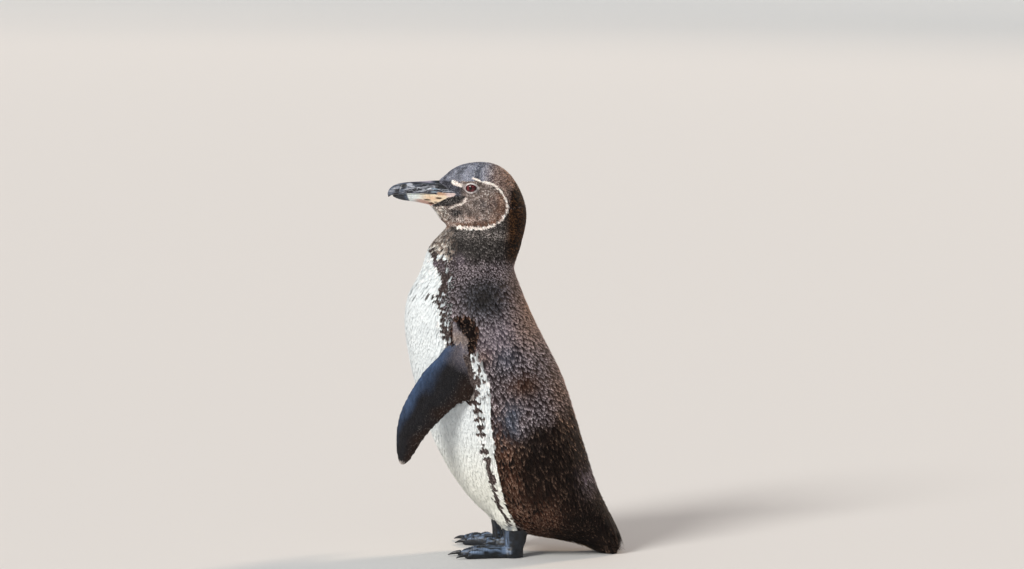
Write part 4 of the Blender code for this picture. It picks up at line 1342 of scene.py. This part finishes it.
# each region: the kind of feather, then a test of the root's x, y and z in mm, its zone and its mix,
# a number from -1 to 1 that is the feather's own
coatRegions = {
    "coat_face": ("face", lambda x, y, z, zone, mix: (zone == headZone) & (y < -28 + 6 * mix)),
    "coat_head": ("head", lambda x, y, z, zone, mix: (zone == headZone) & (y >= -28 + 6 * mix)),
    "coat_collar": ("head", bodyPart(lambda y, z, mix: above("collar", z, mix))),
    "coat_neck": ("neck", bodyPart(
        lambda y, z, mix: ~above("collar", z, mix) & above("neck", z, mix))),
    "coat_shoulders": ("shoulders", bodyPart(
        lambda y, z, mix: ~above("neck", z, mix) & above("shoulders", z, mix) & darkSide(y, z))),
    "coat_fold": ("fold", lambda x, y, z, zone, mix: (zone == trunkZone) & inFold(x, y, z)),
    "coat_back": ("back", bodyPart(
        lambda y, z, mix: ~above("shoulders", z, mix) & above("back", z - 0.35 * y, mix) & darkSide(y, z))),
    "coat_rump": ("rump", bodyPart(
        lambda y, z, mix: ~above("back", z - 0.35 * y, mix) & darkSide(y, z))),
    "coat_breast": ("front", bodyPart(
        lambda y, z, mix: ~above("neck", z, mix) & (z > 165) & whiteFront(y, z))),
    "coat_belly": ("front", bodyPart(lambda y, z, mix: (z <= 165) & whiteFront(y, z))),
    "coat_spots": ("neck", bodyPart(lambda y, z, mix: ~above("neck", z, mix) & spotted(y, z))),
    "coat_tail": ("tail", lambda x, y, z, zone, mix: zone == tailZone),
    "coat_flipper_left": ("flipper", lambda x, y, z, zone, mix: zone == flipperZones[0]),
    "coat_flipper_right": ("flipper", lambda x, y, z, zone, mix: zone == flipperZones[1]),
}
coatUnwraps = {  # the others are cut open down the back
    "coat_flipper_left": flipperUnwrap(1), "coat_flipper_right": flipperUnwrap(-1),
    "coat_face": backUnwrap, "coat_breast": backUnwrap, "coat_belly": backUnwrap,
}


def makeCoat():
    for seed, (name, (planName, test)) in enumerate(coatRegions.items()):
        plan = coatPlan[planName]
        # regions of one plan share their roots and their mix, so that they meet without gaps
        planSeed = list(coatPlan).index(planName)
        points = scatter(plan["spacing"] * mm, planSeed)
        zones = ground.zones[ground.under(points)[2]]
        mix = np.random.default_rng(planSeed).uniform(-1, 1, len(points))
        chosen = test(*(points / mm).T, zones, mix) & ~keepBare(points)
        unwrap = coatUnwraps.get(name, frontUnwrap)
        vanes(name, points[chosen], zones[chosen], plan, unwrap, 101 + seed)


# the stiff tail quills, in two rows fanned round the end of the tail
quillPlan = {
    "count": 26,
    # mm forward of the tail's end, and mm up: the middle root, then what is added to it for the second
    # row and for the outermost root
    "root": (20, 46), "row": (9, -10), "arch": (8, -22),
    "length": 40.0, "width": 4.2, "height": 2.6, "curl": 0.3, "yaw": 0.05, "roll": 0.2,
    "shade": 0.2, "columns": 7, "notch": 0.35, "follow": 0.6,
}


def makeQuills():
    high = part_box("tail")[1] / mm
    roots = []
    for i in range(quillPlan["count"]):
        across = (i + 0.5) / quillPlan["count"] * 2 - 1
        forward, up = (root + row * (i % 2) + arch * across ** 2 for root, row, arch
                       in zip(quillPlan["root"], quillPlan["row"], quillPlan["arch"]))
        roots.append([across * high.x, high.y - forward, up])
    zones = np.full(len(roots), tailZone)
    vanes("coat_tail_quills", np.array(roots) * mm, zones, quillPlan, frontUnwrap, 301)


makeCoat()
makeQuills()
print("coat made")


# bill, claws and eyes: finer copies of their solids

billShape = {
    "voxel": 0.42 * mm,
    "tuckIn": 3.0 * mm,  # how far the base runs under the face
    "upper": (-81, -74), "lower": (-91, -83),  # from where to where it does so
}
# claw horn: dark, and a lighter colour for the painted highlight on its upper faces
clawShape = {"voxel": 0.32 * mm, "dark": "#15161A", "wearAndSheen": "#4B5364"}
eyeColours = {"iris": "#3A1014", "irisLight": "#7A3238", "pupil": "#040303", "rim": "#0C0607"}


def finerCopy(name, node, voxel, rounds):
    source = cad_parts[node]
    weld = bmesh.new()
    weld.from_mesh(source.data)
    bmesh.ops.remove_doubles(weld, verts=weld.verts, dist=1e-6)
    data = bpy.data.meshes.new(name + "Raw")
    weld.to_mesh(data)
    weld.free()
    fine = remeshed(data, voxel)
    fine.name = name
    points = pointsOf(fine)
    grown = relaxed(points, edgesOf(fine), rounds, 0.5)
    # smoothing shrinks a thin shape, so it is let out again to the solid's own box
    low, high, newLow, newHigh = points.min(0), points.max(0), grown.min(0), grown.max(0)
    grown = low + (grown - newLow) * (high - low) / (newHigh - newLow)
    setPoints(fine, grown)
    fine.shade_smooth()
    made = bpy.data.objects.new(name, fine)
    scene.collection.objects.link(made)
    return made, grown


def makeBill():
    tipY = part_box("bill_upper")[0][1] / mm
    for half, node in (("upper", "bill_upper"), ("lower", "bill_lower")):
        made, points = finerCopy("bill_" + half + "_horn", node, billShape["voxel"], 5)
        normals = normalsOf(made.data)
        p = points / mm
        y, up = p[:, 1], billUp(p[:, 1], p[:, 2])
        ridges = blotches(billGrain(p), 1.5, 41)
        plate = blotches(p * [1, 0.3, 1], 1.7, 43)
        sideFacing = ramp(np.abs(normals[:, 0]), 0.35, 0.8)
        back = ramp(y, tipY + 12, tipY + 18)
        if half == "upper":
            # the groove under the ridge, the nostril in it, and the hook's own edge
            groove = np.interp(y, [-104, -97, -75], [5.2, 6.8, 10.6])
            inset = -0.35 * bell(up, groove, 0.45) * back - 0.25 * bell(up, 3.2, 0.4) * back
            inset = inset - 0.6 * bell(up, groove, 0.6) * bell(y, -83, 5)
            inset = inset - 0.3 * bell(y - 0.35 * up, -107.5, 0.8)
            middleY, middleUp, halfLength, halfHeight = billMarks["hollow"]
            ring = np.hypot((y - middleY) / halfLength, (up - middleUp) / halfHeight)
            inset = inset - 0.3 * bell(ring, 0, 0.9)
        else:
            inset = -0.3 * bell(up, -3.8, 0.5) * back - 0.25 * bell(y + 0.4 * up, -99.5, 0.8)
        plates = 0.25 * (ramp(np.abs(ridges - 0.5), 0.09, 0.02) - 0.5) * back
        inset = inset + plates + 0.2 * (plate - 0.5)
        points = points + normals * (inset * sideFacing * mm)[:, None]
        # the ridge rises a little into the forehead, and the base runs under the face
        points[:, 2] += 0.6 * mm * ramp(y, -90, -71) * ramp(up, 7, 12)
        points[:, 1] += billShape["tuckIn"] * ramp(y + 0.53 * up, *billShape[half])
        setPoints(made.data, points)
        paint(made.data, billPaint(points / mm))
        made.data.materials.append(billKeratin)
        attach(made, "root")
        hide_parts(node)


def makeClaws():
    for node in sorted(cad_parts):
        if not node.startswith("claw"):
            continue
        made, points = finerCopy(node + "_horn", node, clawShape["voxel"], 4)
        p = points / mm
        ridges = blotches(p * [1, 0.4, 1], 0.9, 47)
        # lighter where the claw faces up, streaked by its grain: painted highlight
        wearAndSheen = ramp(normalsOf(made.data)[:, 2], 0.2, 0.9) * ramp(ridges, 0.3, 0.8)
        paint(made.data, blend(tint(clawShape["dark"]), tint(clawShape["wearAndSheen"]), wearAndSheen))
        made.data.materials.append(clawKeratin)
        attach(made, "root")
        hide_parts(node)


def makeEyes():
    rows, sides = 44, 72
    for side, node in ((1, "eye_left"), (-1, "eye_right")):
        centre, out, ahead, up, radius = eyeFrame(side)
        points = [centre + out * radius * (1 + eyeShape["cornea"])]
        for i in range(1, rows):
            tilt = math.pi * i / rows
            ring = math.sin(tilt) * radius / mm
            # the clear cornea stands a little off the ball
            front = 1 - float(ramp(np.array(ring), 2.4, 5.4)) if tilt < math.pi / 2 else 0
            bulge = 1 + eyeShape["cornea"] * front
            for j in range(sides):
                turn = 2 * math.pi * j / sides
                way = out * math.cos(tilt) + (ahead * math.cos(turn) + up * math.sin(turn)) * math.sin(tilt)
                points.append(centre + way * radius * bulge)
        points.append(centre - out * radius)
        points = np.array(points)
        u, v, w, _ = eyePlace(points, side)
        ring, turn = np.hypot(u, v), np.arctan2(v, u)
        rays = blotches(np.column_stack([np.cos(turn) * 5, np.sin(turn) * 5, ring * 1.1]), 1.0, 53)
        colour = blend(tint(eyeColours["iris"]), tint(eyeColours["irisLight"]),
                       ramp(rays, 0.4, 0.75) * bell(ring, 3.4, 1.5))
        pupil = ramp(ring, eyeShape["pupil"] + 0.1, eyeShape["pupil"] - 0.1)
        colour = blend(colour, tint(eyeColours["pupil"]), pupil)
        colour = blend(colour, tint(eyeColours["rim"]), ramp(ring, 4.4, 5.0) + (w < 0))
        faces = []
        for j in range(sides):
            k = (j + 1) % sides
            faces.append((0, 1 + j, 1 + k))
            for i in range(rows - 2):
                a, b = 1 + i * sides, 1 + (i + 1) * sides
                faces += [(a + j, b + j, b + k), (a + j, b + k, a + k)]
            last = 1 + (rows - 2) * sides
            faces.append((last + k, last + j, len(points) - 1))
        faces = np.array(faces)
        if side > 0:
            faces = faces[:, ::-1]
        made = meshFrom(node + "_ball", points, faces, colour)
        made.data.materials.append(eyeGloss)
        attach(made, "root")
        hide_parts(node)


def hornMaterial(name, scale, low, high):
    made, tree = newMaterial(name)
    colour = addNode(tree, "ShaderNodeAttribute", attribute_name="plumage")
    place = addNode(tree, "ShaderNodeTexCoord")
    grain = addNode(tree, "ShaderNodeTexNoise", {"Vector": place.outputs["Object"], "Scale": scale,
                                                 "Detail": 4.0})
    shade = addNode(tree, "ShaderNodeMapRange", {"Value": grain.outputs["Fac"], "To Min": 0.75,
                                                 "To Max": 1.2})
    colour = addNode(tree, "ShaderNodeVectorMath", {0: colour.outputs["Color"], 1: shade.outputs[0]},
                     operation="MULTIPLY")
    gloss = addNode(tree, "ShaderNodeMapRange", {"Value": grain.outputs["Fac"], "To Min": low,
                                                 "To Max": high})
    bump = addNode(tree, "ShaderNodeBump", {"Height": grain.outputs["Fac"], "Strength": 0.4,
                                            "Distance": 0.15 * mm})
    shader = addNode(tree, "ShaderNodeBsdfPrincipled", {
        "Base Color": colour.outputs[0], "Roughness": gloss.outputs[0], "Normal": bump.outputs[0],
        "IOR": 1.55, "Subsurface Weight": 0.03, "Subsurface Scale": 0.5 * mm})
    addNode(tree, "ShaderNodeOutputMaterial", {"Surface": shader.outputs[0]})
    return made


def eyeMaterial():
    # wet cornea over a maroon iris: a mirror-smooth clear coat with one small sharp catchlight, over
    # flecks about 0.7 mm across
    made, tree = newMaterial("wet eye")
    colour = addNode(tree, "ShaderNodeAttribute", attribute_name="plumage")
    place = addNode(tree, "ShaderNodeTexCoord")
    flecks = addNode(tree, "ShaderNodeTexNoise", {"Vector": place.outputs["Object"], "Scale": 1.4 / mm})
    shade = addNode(tree, "ShaderNodeMapRange", {"Value": flecks.outputs["Fac"], "To Min": 0.7,
                                                 "To Max": 1.3})
    colour = addNode(tree, "ShaderNodeVectorMath", {0: colour.outputs["Color"], 1: shade.outputs[0]},
                     operation="MULTIPLY")
    shader = addNode(tree, "ShaderNodeBsdfPrincipled", {
        "Base Color": colour.outputs[0], "Roughness": 0.5, "IOR": 1.376, "Specular IOR Level": 0.1,
        "Coat Weight": 1.0, "Coat IOR": 1.376, "Coat Roughness": 0.02})
    addNode(tree, "ShaderNodeOutputMaterial", {"Surface": shader.outputs[0]})
    return made


# bill plates: dense layered horn, satin where worn, its grain about 2.4 mm across; claws: the same horn,
# duller, with a grain of 1.7 mm
billKeratin = hornMaterial("bill keratin", 0.42 / mm, 0.28, 0.5)
clawKeratin = hornMaterial("claw keratin", 0.6 / mm, 0.3, 0.5)
eyeGloss = eyeMaterial()
makeBill()
makeClaws()
makeEyes()
print("bill, claws and eyes made")
